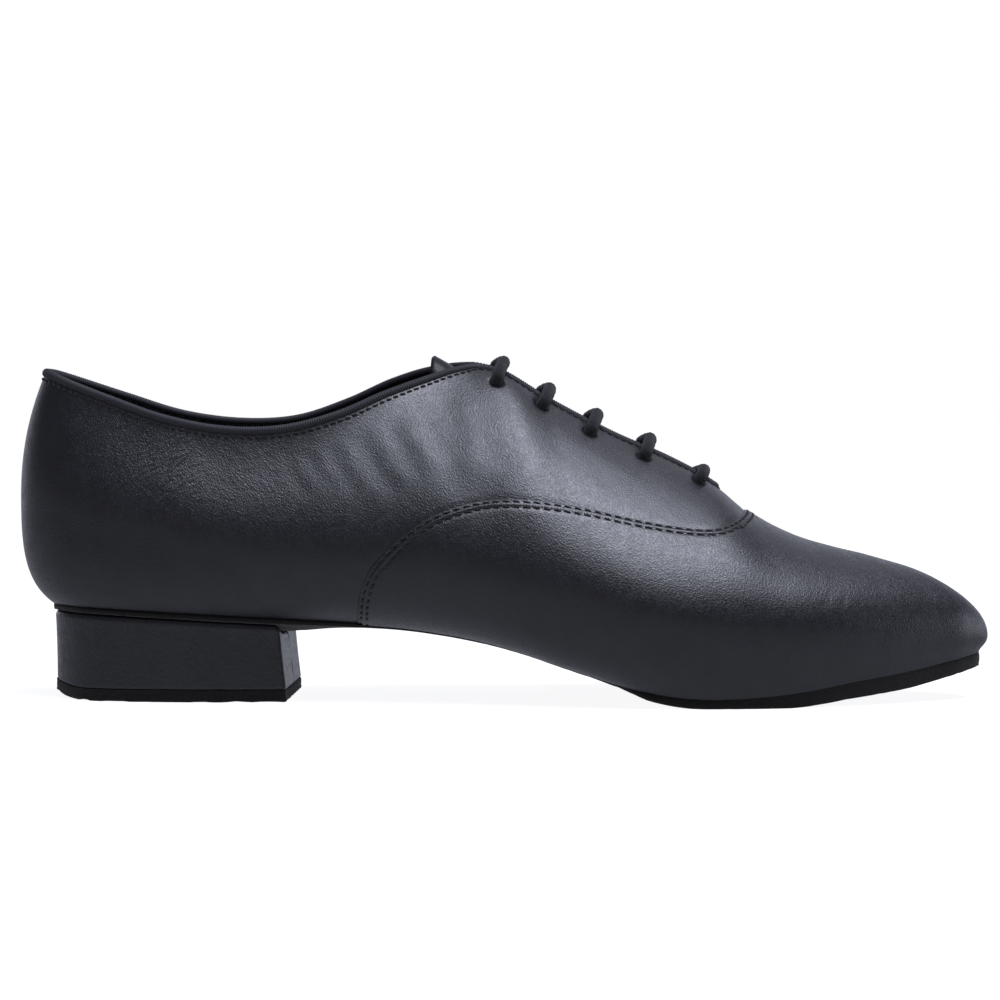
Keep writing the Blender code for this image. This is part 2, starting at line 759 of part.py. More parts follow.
def make_tongue(parts, leather):
    """Follows the facings from inside, and ends in a narrow pull tab behind their top corner."""
    depth = WALL + TONGUE_DROP
    shares = (-1, -0.72, -0.44, -0.2, 0, 0.2, 0.44, 0.72, 1)
    tops, bottoms = [], []
    for p in (11.45, 11.7, 12, 12.5, 13, 13.5, 14, 14.5, 15, 15.6):
        upper_row, lower_row = [], []
        reach = TONGUE_REACH * min(1.0, 0.5 + 1.2 * (p - 11.45))
        for share in shares:
            place = p if share < 0 else 2 * HALF - p
            v = down_the_rib(Rib(place), abs(share) * reach)
            point, normal = Rib(place).point(v), surface_normal(place, v)
            if share == 0:
                point, normal = Vector((point.x, 0, point.z)), Vector((normal.x, 0, normal.z)).normalized()
            upper_row.append(point - normal * depth)
            lower_row.append(point - normal * (depth + TONGUE_THICKNESS))
        tops.append(upper_row)
        bottoms.append(lower_row)
    corner = Rib(CORNER_RIB).ridge
    middles = [corner + Vector((-TAB_LENGTH * back, 0, TAB_LENGTH * up)) for back, up, width in TAB]
    for n, (back, up, width) in enumerate(TAB):
        along = middles[min(n + 1, len(TAB) - 1)] - middles[max(n - 1, 0)]
        square = Vector((along.z, 0, -along.x)).normalized()
        row = []
        for share in shares:
            y = share * TAB_WIDTH * width / 2
            row.append(middles[n] + Vector((0, y, 0)) - square * (y * y / (2 * TAB_CURVE)))
        tops.insert(0, row)
        bottoms.insert(0, [p - square * TONGUE_THICKNESS for p in row])
    return slab("tongue", tops, bottoms, parts, leather)


def make_lace_bars(parts, cord):
    for n, pair in enumerate(eyelet_centres(), 1):
        position = position_at(pair[0][0].x + LACE_LEAN, TOP_X, CORNER_RIB - 1, THROAT_RIB + 1)
        ridge = Rib(position).ridge
        ridge = Vector((ridge.x, 0, ridge.z))
        lift = (surface_normal(position, 2) + surface_normal(2 * HALF - position, 2)).normalized()
        halves = []
        for side, (centre, normal) in zip((-1, 1), pair):
            over = ridge + lift * LACE_ARCH + Vector((0, side * BINDING_WIDTH, 0))
            inward = (over - centre).normalized()
            halves.append(
                [
                    centre - normal * LACE_DIP,
                    centre + normal * 0.3 * MM,
                    centre + normal * 1.9 * MM + inward * 0.7 * MM,
                    centre.lerp(over, 0.45) + normal * 1.9 * MM,
                    over,
                ]
            )
        tube(f"lace_bar_{n}", halves[0] + halves[1][::-1], LACE_WIDTH, False, parts, cord, 2)


def main():
    for old in list(bpy.data.objects):
        bpy.data.objects.remove(old)
    parts = collection("ballroom_shoe")
    cutters = collection("cutters")
    leather = material("black_leather", (0.016, 0.016, 0.022), 0.42)
    lining = material("black_lining", (0.010, 0.010, 0.012), 0.85)
    suede = material("black_suede", (0.008, 0.008, 0.009), 0.95)
    tape = material("ribbed_tape", (0.030, 0.030, 0.038), 0.70)
    cord = material("black_cord", (0.012, 0.012, 0.014), 0.75)
    make_upper(parts, cutters, leather)
    make_outsole(parts, suede)
    make_insole(parts, lining)
    make_heel_block(parts, leather)
    make_heel_lift(parts, suede)
    make_binding(parts, tape)
    make_tongue(parts, leather)
    make_lace_bars(parts, cord)


main()
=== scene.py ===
"""Looks of the ballroom dance shoe: leather panels, binding, stitching, lace, suede soles and covered heel.

Metres, in the part's frame: +X to the toe, +Y to the inner side, +Z up, origin on the floor under the heel.
"""

import math

import bmesh
import bpy
import numpy as np
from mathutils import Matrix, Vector, geometry, kdtree


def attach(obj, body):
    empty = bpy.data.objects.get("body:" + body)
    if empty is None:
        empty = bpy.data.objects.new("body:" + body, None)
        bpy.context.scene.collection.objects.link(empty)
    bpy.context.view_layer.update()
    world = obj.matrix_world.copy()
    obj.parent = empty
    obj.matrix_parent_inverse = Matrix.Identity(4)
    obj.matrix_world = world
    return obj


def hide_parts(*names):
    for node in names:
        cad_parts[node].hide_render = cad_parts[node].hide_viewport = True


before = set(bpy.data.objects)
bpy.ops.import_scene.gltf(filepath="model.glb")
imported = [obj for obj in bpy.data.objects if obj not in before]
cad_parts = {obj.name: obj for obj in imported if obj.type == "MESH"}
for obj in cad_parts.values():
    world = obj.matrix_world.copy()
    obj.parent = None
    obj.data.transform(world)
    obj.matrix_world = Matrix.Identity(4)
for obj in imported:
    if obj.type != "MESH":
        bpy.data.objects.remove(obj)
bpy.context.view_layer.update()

MM = 0.001
UP = np.array((0.0, 0.0, 1.0))

# The last's sizes and tables, as in the part
LENGTH = 292 * MM
BALL_WIDTH = 97.5 * MM
INSTEP_HEIGHT = 85 * MM
HEEL_RISE = 25.5 * MM
TOE_SPRING = 11.2 * MM
INNER_RISE = 4.3 * MM
BELLY = 3.8 * MM
WALL = 2.0 * MM
VAMP_LAP = 0.8 * MM
FACING_GAP = 6.4 * MM
BINDING_WIDTH = 2.6 * MM
EYELET_WIDTH = 4.0 * MM
EYELET_INSET = 7.6 * MM
EYELET_SHARES = (-0.015, 0.195, 0.424, 0.678, 0.926)
LACE_WIDTH = 3.8 * MM
LACE_LEAN = 0.2 * MM
LACE_ARCH = 3.0 * MM
LACE_SINK = 1.2 * MM  # the far end of a bar lies this much lower over the ridge
TONGUE_THICKNESS = 1.8 * MM
TONGUE_DROP = 2.0 * MM
TONGUE_REACH = 16.0 * MM
TAB_LENGTH = 18.5 * MM
TAB_WIDTH = 13.0 * MM
TAB_CURVE = 14.0 * MM
TAB_RADIUS = 8.0 * MM  # across the tab's free end
INSOLE_THICKNESS = 1.5 * MM
SOLE_THICKNESS = 2.5 * MM
SOLE_LAP = 0.8 * MM
SOLE_TUCK = 1.2 * MM
LIFT_THICKNESS = 3.6 * MM
LIFT_INSET = 0.5 * MM
BLOCK_INSET = 0.5 * MM
BLOCK_TAPER = 0.5 * MM
HEEL_BEVEL = 2.6 * MM
HEEL_BEVEL_LENGTH = 13.0 * MM
BREAST_LEAN = 2.0 * MM
GAP = 0.3 * MM

SEAT = [  # x out in pitch spring belly flare
    (0.035, 0.000, 0.000, 1.000, 0.00, 0.00, 34),
    (0.042, 0.125, 0.125, 1.000, 0.00, 0.12, 35),
    (0.065, 0.215, 0.215, 0.992, 0.00, 0.36, 36),
    (0.103, 0.267, 0.267, 0.973, 0.00, 0.60, 38),
    (0.158, 0.287, 0.287, 0.941, 0.00, 0.75, 40),
    (0.216, 0.292, 0.282, 0.906, 0.00, 0.87, 38),
    (0.277, 0.272, 0.262, 0.867, 0.00, 0.95, 32),
    (0.342, 0.241, 0.215, 0.827, 0.00, 0.40, 20),
    (0.411, 0.236, 0.195, 0.765, 0.00, 0.22, 14),
    (0.473, 0.262, 0.210, 0.655, 0.00, 0.16, 10),
    (0.521, 0.302, 0.248, 0.525, 0.00, 0.10, 8),
    (0.568, 0.350, 0.300, 0.355, 0.00, 0.05, 12),
    (0.616, 0.404, 0.354, 0.192, 0.00, 0.02, 28),
    (0.664, 0.446, 0.405, 0.050, 0.00, 0.03, 50),
    (0.712, 0.455, 0.433, 0.000, 0.00, 0.00, 58),
    (0.760, 0.438, 0.431, 0.000, 0.04, 0.00, 62),
    (0.808, 0.395, 0.405, 0.000, 0.17, 0.00, 66),
    (0.856, 0.328, 0.349, 0.000, 0.38, 0.00, 68),
    (0.901, 0.247, 0.277, 0.000, 0.54, 0.00, 70),
    (0.942, 0.162, 0.197, 0.000, 0.73, 0.00, 72),
    (0.973, 0.090, 0.121, 0.000, 0.89, 0.00, 74),
    (0.991, 0.000, 0.000, 0.000, 1.00, 0.00, 76),
]
WIDE = [  # x out in high side
    (0.000, 0.000, 0.000, 0.380, 0.36),
    (0.012, 0.138, 0.138, 0.375, 0.36),
    (0.041, 0.236, 0.236, 0.350, 0.36),
    (0.089, 0.303, 0.303, 0.310, 0.36),
    (0.151, 0.338, 0.333, 0.275, 0.36),
    (0.212, 0.359, 0.344, 0.250, 0.36),
    (0.277, 0.369, 0.349, 0.235, 0.36),
    (0.342, 0.385, 0.354, 0.235, 0.34),
    (0.401, 0.402, 0.366, 0.240, 0.32),
    (0.449, 0.424, 0.384, 0.260, 0.31),
    (0.490, 0.448, 0.400, 0.275, 0.27),
    (0.534, 0.476, 0.418, 0.290, 0.26),
    (0.586, 0.506, 0.440, 0.292, 0.26),
    (0.640, 0.528, 0.463, 0.282, 0.26),
    (0.695, 0.525, 0.475, 0.262, 0.26),
    (0.743, 0.500, 0.473, 0.236, 0.28),
    (0.793, 0.455, 0.446, 0.205, 0.28),
    (0.846, 0.378, 0.392, 0.168, 0.29),
    (0.896, 0.288, 0.317, 0.136, 0.30),
    (0.942, 0.192, 0.227, 0.104, 0.31),
    (0.978, 0.107, 0.140, 0.078, 0.32),
    (1.000, 0.000, 0.000, 0.056, 0.25),
]
TOP = [  # x out in high lift crown slope
    (0.024, 0.000, 0.000, 0.802, 0.00, 0.35, 68),
    (0.031, 0.097, 0.097, 0.796, 0.00, 0.35, 70),
    (0.053, 0.159, 0.159, 0.768, 0.10, 0.35, 72),
    (0.099, 0.210, 0.210, 0.715, 0.20, 0.35, 74),
    (0.158, 0.246, 0.246, 0.656, 0.30, 0.35, 76),
    (0.219, 0.254, 0.254, 0.628, 0.50, 0.35, 76),
    (0.281, 0.251, 0.251, 0.643, 0.65, 0.35, 75),
    (0.339, 0.226, 0.226, 0.707, 0.90, 0.34, 70),
    (0.387, 0.179, 0.179, 0.799, 0.90, 0.30, 60),
    (0.426, 0.128, 0.128, 0.884, 0.70, 0.26, 49),
    (0.461, 0.072, 0.072, 0.964, 0.25, 0.21, 37),
    (0.491, 0.000, 0.000, 1.025, 0.00, 0.19, 0),
    (0.551, 0.000, 0.000, 0.959, 0.00, 0.19, 0),
    (0.613, 0.000, 0.000, 0.890, 0.00, 0.20, 0),
    (0.673, 0.000, 0.000, 0.814, 0.00, 0.22, 0),
    (0.715, 0.000, 0.000, 0.729, 0.00, 0.27, 0),
    (0.758, 0.000, 0.000, 0.592, 0.00, 0.34, 0),
    (0.800, 0.000, 0.000, 0.488, 0.00, 0.40, 0),
    (0.839, 0.000, 0.000, 0.425, 0.00, 0.43, 0),
    (0.873, 0.000, 0.000, 0.372, 0.00, 0.43, 0),
    (0.898, 0.000, 0.000, 0.327, 0.00, 0.42, 0),
    (0.912, 0.000, 0.000, 0.299, 0.00, 0.42, 0),
]
TAB = [  # back up width
    (0.00, -0.190, 0.70),
    (0.27, -0.155, 0.58),
    (0.48, -0.060, 0.58),
    (0.73, 0.100, 0.85),
    (0.95, 0.225, 1.00),
]
SOLE = [  # x thick lap
    (0.03, 0.52, 0.60),
    (0.28, 0.52, 0.60),
    (0.36, 0.42, 0.00),
    (0.60, 0.36, 0.00),
    (0.625, 0.52, 0.40),
    (0.65, 0.92, 1.00),
    (0.70, 1.08, 1.00),
    (0.76, 1.40, 1.00),
    (0.82, 1.70, 1.00),
    (0.87, 1.85, 1.00),
    (0.92, 1.92, 1.00),
    (0.96, 1.75, 1.00),
    (1.00, 1.60, 1.00),
]
SEAM = [  # x high
    (0.352, 0.10),
    (0.356, 0.23),
    (0.361, 0.34),
    (0.371, 0.43),
    (0.385, 0.49),
    (0.405, 0.555),
    (0.432, 0.617),
    (0.465, 0.660),
    (0.500, 0.680),
    (0.540, 0.676),
    (0.590, 0.648),
    (0.640, 0.609),
    (0.685, 0.582),
    (0.715, 0.575),
    (0.734, 0.592),
    (0.750, 0.625),
    (0.764, 0.680),
]
CORNER_RIB = 11
THROAT_RIB = 15
BREAST_RIB = 6
SEAT_REACH = 0.34
WIDE_REACH = 0.42
TIP_FALL = math.tan(math.radians(-20))
HALF = len(SEAT) - 1
COUNT = 2 * HALF
SEAT_X, TOP_X = 0, 6
CORNER_X = TOP[CORNER_RIB][0] * LENGTH
THROAT_X = TOP[THROAT_RIB][0] * LENGTH
HEEL_BACK_X = SEAT[0][0] * LENGTH
BREAST_X = SEAT[BREAST_RIB][0] * LENGTH
ORIGIN_X = (HEEL_BACK_X + BREAST_X + BREAST_LEAN / 2) / 2

# ---------------------------------------------------------------- camera

camera = bpy.data.objects.new("camera", bpy.data.cameras.new("camera"))
bpy.context.scene.collection.objects.link(camera)
camera.location = (0.1346, -1.0435, 0.0895)
camera.rotation_euler = (math.radians(90 - 1.652), 0, math.radians(1.928))
camera.data.lens = 124.1
camera.data.sensor_width = 36
bpy.context.scene.camera = camera


# ---------------------------------------------------------------- the last's surface


def unit(vectors):
    return vectors / np.maximum(np.linalg.norm(vectors, axis=-1, keepdims=True), 1e-12)


def rib_values(k, side):
    seat_x, seat_out, seat_in, pitch, spring, belly, flare = SEAT[k]
    wide_x, wide_out, wide_in, wide_high, wide_side = WIDE[k]
    top_x, top_out, top_in, top_high, lift, crown, slope = TOP[k]
    halves = (seat_out, wide_out, top_out) if side < 0 else (seat_in, wide_in, top_in)
    seat_y, wide_y, top_y = (side * half * BALL_WIDTH for half in halves)
    seat_z = SOLE_THICKNESS + GAP + pitch * HEEL_RISE + spring * TOE_SPRING
    top_z = seat_z + top_high * INSTEP_HEIGHT + (lift * INNER_RISE if side > 0 else 0)
    return [
        *(seat_x * LENGTH, seat_y, seat_z),
        *(wide_x * LENGTH, wide_y, seat_z + wide_high * INSTEP_HEIGHT),
        *(top_x * LENGTH, top_y, top_z),
        *(math.radians(flare), wide_side, crown, math.radians(slope), belly * BELLY),
    ]


RING = np.array(
    [rib_values(k, -1) for k in range(HALF + 1)] + [rib_values(k, 1) for k in range(HALF - 1, 0, -1)]
)
STEPS = np.linalg.norm(np.roll(RING[:, 3:5], -1, 0) - RING[:, 3:5], axis=1)
STEPS = (STEPS + STEPS[::-1]) / 2


def ring_values(position):
    """Guide values at ring positions: a smooth curve through the ribs of the tables."""
    position = np.atleast_1d(np.asarray(position, float))
    k = np.floor(position).astype(int)
    t = (position - k)[:, None]
    before, here, after, beyond = (RING[(k + n) % COUNT] for n in (-1, 0, 1, 2))
    step_in, step, step_out = (STEPS[(k + n) % COUNT][:, None] for n in (-1, 0, 1))
    slope_here = ((here - before) / step_in * step + (after - here) / step * step_in) / (step_in + step)
    slope_after = ((after - here) / step * step_out + (beyond - after) / step_out * step) / (step + step_out)
    t2, t3 = t * t, t * t * t
    return (
        (2 * t3 - 3 * t2 + 1) * here
        + (t3 - 2 * t2 + t) * step * slope_here
        + (3 * t2 - 2 * t3) * after
        + (t3 - t2) * step * slope_after
    )


def throat_half_gap(x):
    half = FACING_GAP / 2
    past = np.clip((x - THROAT_X) / half, 0, 1)
    return half * np.sqrt(1 - past * past)


def plan_direction(start, end):
    direction = end - start
    direction[:, 2] = 0
    return unit(direction)


def bezier(points, t):
    s = 1 - t
    a, b, c, d = points
    return a * s**3 + b * 3 * s * s * t + c * 3 * s * t * t + d * t**3


def ridge_fall(position):
    """Slope of the ridge line where the ribs at these positions meet it."""
    away = np.abs(position - HALF)
    near = away < 0.5
    asked = np.where(near, HALF + np.where(position >= HALF, 0.5, -0.5), position)
    ahead, behind = ring_values(asked + 0.05), ring_values(asked - 0.05)
    run = ahead[:, 6] - behind[:, 6]
    fall = (ahead[:, 8] - behind[:, 8]) / np.where(np.abs(run) < 1e-9, 1e-9, run)
    return np.where(near, TIP_FALL + (fall - TIP_FALL) * away / 0.5, fall)


class Ribs:
    """Ribs of the upper at many ring positions: seat line (0), widest line (1), top (2)."""

    def __init__(self, position):
        position = np.atleast_1d(np.asarray(position, float))
        values = ring_values(position)
        self.side = np.where(position % COUNT <= HALF, -1.0, 1.0)
        self.seat, self.wide, self.ridge = values[:, 0:3], values[:, 3:6], values[:, 6:9].copy()
        flare, reach_up, crown, slope = (column[:, None] for column in values[:, 9:13].T)
        crossing = self.ridge[:, 0] >= CORNER_X
        self.ridge[crossing, 1] = 0
        fall = np.where(crossing, ridge_fall(position), 0.0)[:, None]
        self.out = plan_direction(self.seat, self.wide)
        inward = plan_direction(self.wide, self.ridge)
        share = np.clip((self.ridge[:, :1] - CORNER_X) / (20 * MM), 0, 1)
        climb = inward[:, :1] * fall * share + np.tan(slope)
        tangent = unit(inward + climb * UP)
        lean = self.out * np.cos(flare) + UP * np.sin(flare)
        chord = np.linalg.norm(self.wide - self.seat, axis=1)[:, None]
        self.lower = (
            self.seat,
            self.seat + lean * chord * SEAT_REACH,
            self.wide - UP * chord * WIDE_REACH,
            self.wide,
        )
        chord = np.linalg.norm(self.ridge - self.wide, axis=1)[:, None]
        self.upper = (
            self.wide,
            self.wide + UP * chord * reach_up,
            self.ridge - tangent * chord * crown,
            self.ridge,
        )
        self.end = self.edge_share()[:, None]
        self.top = self.point(2.0)
        self.tangent = unit(self.top - self.point(1.98))

    def edge_share(self):
        def clearance(share):
            p = bezier(self.upper, share[:, None])
            return self.side * p[:, 1] - throat_half_gap(p[:, 0])

        whole = np.ones(len(self.side))
        cut = (self.ridge[:, 0] >= TOP[CORNER_RIB - 2][0] * LENGTH) & (clearance(whole) < 0)
        low, high = whole * 0.3, whole.copy()
        for _ in range(30):
            middle = (low + high) / 2
            clear = clearance(middle) > 0
            low, high = np.where(clear, middle, low), np.where(clear, high, middle)
        return np.where(cut, low, 1.0)

    def point(self, v):
        v = np.broadcast_to(v, self.side.shape)[:, None]
        return np.where(v <= 1, bezier(self.lower, v), bezier(self.upper, (v - 1) * self.end))


def position_at(x, field, low, high):
    """Ring position, between two given ones, where a guide value reaches x."""
    for _ in range(40):
        middle = (low + high) / 2
        if ring_values(middle)[0, field] < x:
            low = middle
        else:
            high = middle
    return (low + high) / 2


def rib_frames(place, distances):
    """(points, outward normals) at distances from the top line down one rib, along the surface."""
    heights = np.arange(2.0, 0.999, -0.01)
    positions = (np.full(len(heights), place + move) for move in (-0.02, 0, 0.02))
    before, here, after = (Ribs(position).point(heights) for position in positions)
    gone = np.concatenate([[0], np.cumsum(np.linalg.norm(np.diff(here, axis=0), axis=1))])
    normals = unit(np.cross(before - after, np.gradient(here, axis=0)))
    rows = np.interp(distances, gone, np.arange(len(heights)))
    low = np.minimum(rows.astype(int), len(heights) - 2)
    share = (rows - low)[:, None]
    return tuple(field[low] * (1 - share) + field[low + 1] * share for field in (here, normals))


# ---------------------------------------------------------------- dense grid of the outer surface

COLUMN = 0.64 * MM
ROWS_UNDER, ROWS_OVER = 34, 82
MIDDLE = int(round(STEPS[:HALF].sum() / COLUMN))
run = np.concatenate([[0], np.cumsum(STEPS[:HALF])])
outer_positions = np.interp(np.linspace(0, run[-1], MIDDLE + 1), run, np.arange(HALF + 1))
POSITIONS = np.concatenate([outer_positions, COUNT - outer_positions[-2:0:-1]])
HEIGHTS = np.concatenate([np.linspace(0, 1, ROWS_UNDER + 1)[:-1], np.linspace(1, 2, ROWS_OVER + 1)])
COLUMNS, ROWS = len(POSITIONS), len(HEIGHTS)
RIBS = Ribs(POSITIONS)
SKIN = np.stack([RIBS.point(v) for v in HEIGHTS], axis=1)


def grid_normals(points):
    along = np.roll(points, -1, 0) - np.roll(points, 1, 0)
    up = np.gradient(points, axis=1)
    return unit(np.cross(along, up))


NORMALS = grid_normals(SKIN)
closing = (RIBS.ridge[:, 0] > THROAT_X + FACING_GAP / 2) & (RIBS.end[:, 0] == 1)
NORMALS[closing, -1, 1] = 0
NORMALS = unit(NORMALS)


def on_grid(field, places):
    """A field of the grid at fractional (column, row) places."""
    i = np.floor(places[:, 0]).astype(int)
    j = np.clip(np.floor(places[:, 1]).astype(int), 0, ROWS - 2)
    s = (places[:, 0] - i)[:, None]
    t = (places[:, 1] - j)[:, None]
    i, after = i % COLUMNS, (i + 1) % COLUMNS
    low = field[i, j] * (1 - s) + field[after, j] * s
    high = field[i, j + 1] * (1 - s) + field[after, j + 1] * s
    return low * (1 - t) + high * t


# ---------------------------------------------------------------- the vamp seam


def curve(rows, step):
    """Points of a Catmull-Rom curve from the second of the rows to the last but one, which is left out."""
    t = np.arange(0, 1, step)[:, None]
    parts = []
    for a, b, c, d in zip(rows, rows[1:], rows[2:], rows[3:]):
        bend = (a * 2 - b * 5 + c * 4 - d) * t * t + (b * 3 - a - c * 3 + d) * t**3
        parts.append((b * 2 + (c - a) * t + bend) / 2)
    return np.concatenate(parts)


def seam_side_view():
    base = SOLE_THICKNESS + GAP
    rows = np.array([(x * LENGTH, base + high * INSTEP_HEIGHT) for x, high in SEAM])
    ends = rows[:1] * 2 - rows[1:2], rows[-1:] * 2 - rows[-2:-1]
    return np.concatenate([curve(np.concatenate([ends[0], rows, ends[1]]), 0.125), rows[-1:]])


SEAM_LINE = seam_side_view()
rise = unit(SEAM_LINE[-1] - SEAM_LINE[-2]) * 30 * MM
VAMP_OUTLINE = np.concatenate(
    [
        [(SEAM_LINE[0, 0] - 0.6 * MM, -20 * MM)],
        SEAM_LINE,
        [SEAM_LINE[-1] + rise, (LENGTH * 1.1, SEAM_LINE[-1, 1] + rise[1]), (LENGTH * 1.1, -20 * MM)],
    ]
)


def inside(points, outline):
    """Which of the points in the plane lie inside a closed outline."""
    hit = np.zeros(len(points), bool)
    for (ax, ay), (bx, by) in zip(outline, np.roll(outline, -1, 0)):
        spans = (ay > points[:, 1]) != (by > points[:, 1])
        with np.errstate(divide="ignore", invalid="ignore"):
            cross = ax + (points[:, 1] - ay) / (by - ay) * (bx - ax)
        hit ^= spans & (points[:, 0] < cross)
    return hit


def in_vamp(points):
    return inside(points[..., [0, 2]].reshape(-1, 2), VAMP_OUTLINE).reshape(points.shape[:-1])


VAMP_SIDE = in_vamp(SKIN)
SEAM_STEP = 0.45 * MM


def seam_places(side):
    """The seam on one side as (column, row) places, from the seat line up to the ridge."""
    columns = np.arange(0, MIDDLE) if side < 0 else np.arange(MIDDLE, COLUMNS - 1)
    found = []
    for di, dj in ((1, 0), (0, 1)):
        i, j = np.meshgrid(columns, np.arange(ROWS - dj), indexing="ij")
        i, j = i.ravel(), j.ravel()
        change = VAMP_SIDE[i, j] != VAMP_SIDE[(i + di) % COLUMNS, j + dj]
        start = np.stack([i[change], j[change]], 1).astype(float)
        low, high = np.zeros(len(start)), np.ones(len(start))
        first = VAMP_SIDE[i[change], j[change]]
        step = np.array((di, dj), float)
        for _ in range(14):
            middle = (low + high) / 2
            same = in_vamp(on_grid(SKIN, start + step * middle[:, None])) == first
            low, high = np.where(same, middle, low), np.where(same, high, middle)
        found.append(start + step * ((low + high) / 2)[:, None])
    places = np.concatenate(found)
    at = on_grid(SKIN, places)
    near = np.linalg.norm(at[:, None, [0, 2]] - SEAM_LINE[None], axis=2).argmin(1)
    gone = np.concatenate([[0], np.cumsum(np.linalg.norm(np.diff(SEAM_LINE, axis=0), axis=1))])
    way = unit(np.gradient(SEAM_LINE, axis=0))
    past = ((at[:, [0, 2]] - SEAM_LINE[near]) * way[near]).sum(1)
    order = np.argsort(gone[near] + past - 0.05 * np.abs(at[:, 1]))
    places, at = places[order], at[order]
    run = np.concatenate([[0], np.cumsum(np.linalg.norm(np.diff(at, axis=0), axis=1))])
    count = int(run[-1] / SEAM_STEP)
    wanted = np.linspace(0, run[-1], count)
    return np.stack([np.interp(wanted, run, column) for column in places.T], 1)


SEAMS = {side: seam_places(side) for side in (-1, 1)}
seam_tree = kdtree.KDTree(sum(len(s) for s in SEAMS.values()))
for number, spot in enumerate(np.concatenate([on_grid(SKIN, s) for s in SEAMS.values()])):
    seam_tree.insert(spot, number)
seam_tree.balance()
SEAM_RUNS = np.concatenate([np.arange(len(s)) for s in SEAMS.values()]) * SEAM_STEP


def from_seam(points):
    """(distance of each point from the vamp seam, how far along the seam it is)."""
    _, numbers, distances = zip(*(seam_tree.find(p) for p in points.reshape(-1, 3)))
    shape = points.shape[:-1]
    return np.array(distances).reshape(shape), SEAM_RUNS[list(numbers)].reshape(shape)


SIGNED = from_seam(SKIN)[0] * np.where(VAMP_SIDE, 1, -1)


def across_seam(side, distance):
    """The seam moved over the surface into the vamp by a distance, as places on the grid."""
    places = SEAMS[side]
    at = on_grid(SKIN, places)
    normal = unit(on_grid(NORMALS, places))
    along = unit(np.gradient(at, axis=0))
    across = unit(np.cross(normal, along)) * side
    step_i = on_grid(SKIN, places + (0.5, 0)) - on_grid(SKIN, places - (0.5, 0))
    step_j = (on_grid(SKIN, places + (0, 0.25)) - on_grid(SKIN, places - (0, 0.25))) * 2
    a, b, c = (step_i * step_i).sum(1), (step_i * step_j).sum(1), (step_j * step_j).sum(1)
    e, f = (step_i * across).sum(1), (step_j * across).sum(1)
    det = a * c - b * b
    move = np.stack([(e * c - f * b) / det, (f * a - e * b) / det], 1)
    return places + move * distance


# ---------------------------------------------------------------- creases and lips

STITCH_ROWS = (0.95 * MM, 2.75 * MM)
STITCH_PITCH = 3.0 * MM

# Creases in side view, millimetres of the shoe: side (-1 outer, 1 inner, 0 both), start x z, end x z,
# bow, depth (less than nothing for a ridge), half width
CREASES = [
    (-1, 57, 77, 38, 55, 1.8, 0.13, 1.2),
    (-1, 70, 75, 52, 58, 1.2, 0.08, 1.0),
    (-1, 82, 75, 92, 60, -1.2, 0.10, 1.5),
    (-1, 88, 76, 100, 62, -1.2, 0.12, 1.8),
    (-1, 95, 78, 108, 60, -1.5, 0.20, 2.4),
    (-1, 103, 82, 119, 60, -1.8, 0.28, 2.8),
    (-1, 112, 87, 127, 64, -1.8, 0.24, 2.6),
    (-1, 121, 91, 135, 70, -1.8, 0.16, 2.2),
    (-1, 136, 99, 141, 60, 0.0, -1.15, 4.8),
    (1, 136, 99, 141, 60, 0.0, -1.15, 4.8),
    (-1, 150, 92, 164, 66, 1.0, 0.20, 4.0),
    (-1, 152, 80, 186, 60, 2.0, 0.14, 2.2),
    (-1, 160, 84, 196, 62, 2.0, 0.08, 1.8),
    (1, 50, 80, 33, 58, 1.5, 0.12, 1.2),
    (1, 90, 80, 103, 62, -1.5, 0.12, 1.3),
    (1, 100, 84, 115, 63, -1.5, 0.13, 1.4),
    (1, 112, 88, 127, 67, -1.5, 0.12, 1.4),
    (0, 248, 34, 243, 24, 1.0, 0.10, 0.9),
    (0, 252, 32, 247, 21, 1.0, 0.09, 0.9),
    (0, 244, 36, 238, 27, 1.2, 0.08, 0.9),
]
CREASING = 0.42  # share of the listed depths that is pressed in
RIDGE_AT = 1.9  # half widths from a crease to the ridges beside it
LIP_SLOPE = 0.95 * MM
GROOVE, GROOVE_WIDTH = 0.22 * MM, 0.44 * MM  # of the leather under a row of stitches
PUCKER = 0.03 * MM


def crease_depth(points):
    """How far the leather moves along its normal, from the table of creases."""
    flat = points.reshape(-1, 3)
    total = np.zeros(len(flat))
    for side, ax, az, bx, bz, bow, depth, width in CREASES:
        a, b = np.array((ax, az)) * MM, np.array((bx, bz)) * MM
        length = np.linalg.norm(b - a)
        along = (b - a) / length
        across = np.array((-along[1], along[0]))
        offset = flat[:, [0, 2]] - a
        t = offset @ along / length
        d = (offset @ across - bow * MM * 4 * t * (1 - t)) / (width * MM)
        fade = np.clip(np.minimum(t, 1 - t) * 3.2, 0, 1)
        fade = fade * fade * (3 - 2 * fade)
        if side:
            fade = fade * (flat[:, 1] * side > 0)
        ridges = np.exp(-((d - RIDGE_AT) ** 2)) + np.exp(-((d + RIDGE_AT) ** 2))
        total += fade * CREASING * depth * MM * (0.45 * ridges - np.exp(-d * d))
    return total.reshape(points.shape[:-1])


def vamp_lift(distance, run=None):
    """Height of the vamp's leather over the quarters, from its thinned edge, pulled in where the needle went."""
    pull = 0 if run is None else PUCKER * np.cos(run * 2 * math.pi / STITCH_PITCH)
    lift = VAMP_LAP * (0.25 + 0.75 * (1 - np.exp(-distance / LIP_SLOPE)))
    for row in STITCH_ROWS:
        lift = lift - (GROOVE + pull) * np.exp(-(((distance - row) / GROOVE_WIDTH) ** 2))
    middle = sum(STITCH_ROWS) / 2
    return lift + (0.09 * MM - pull) * np.exp(-(((distance - middle) / (0.5 * MM)) ** 2))


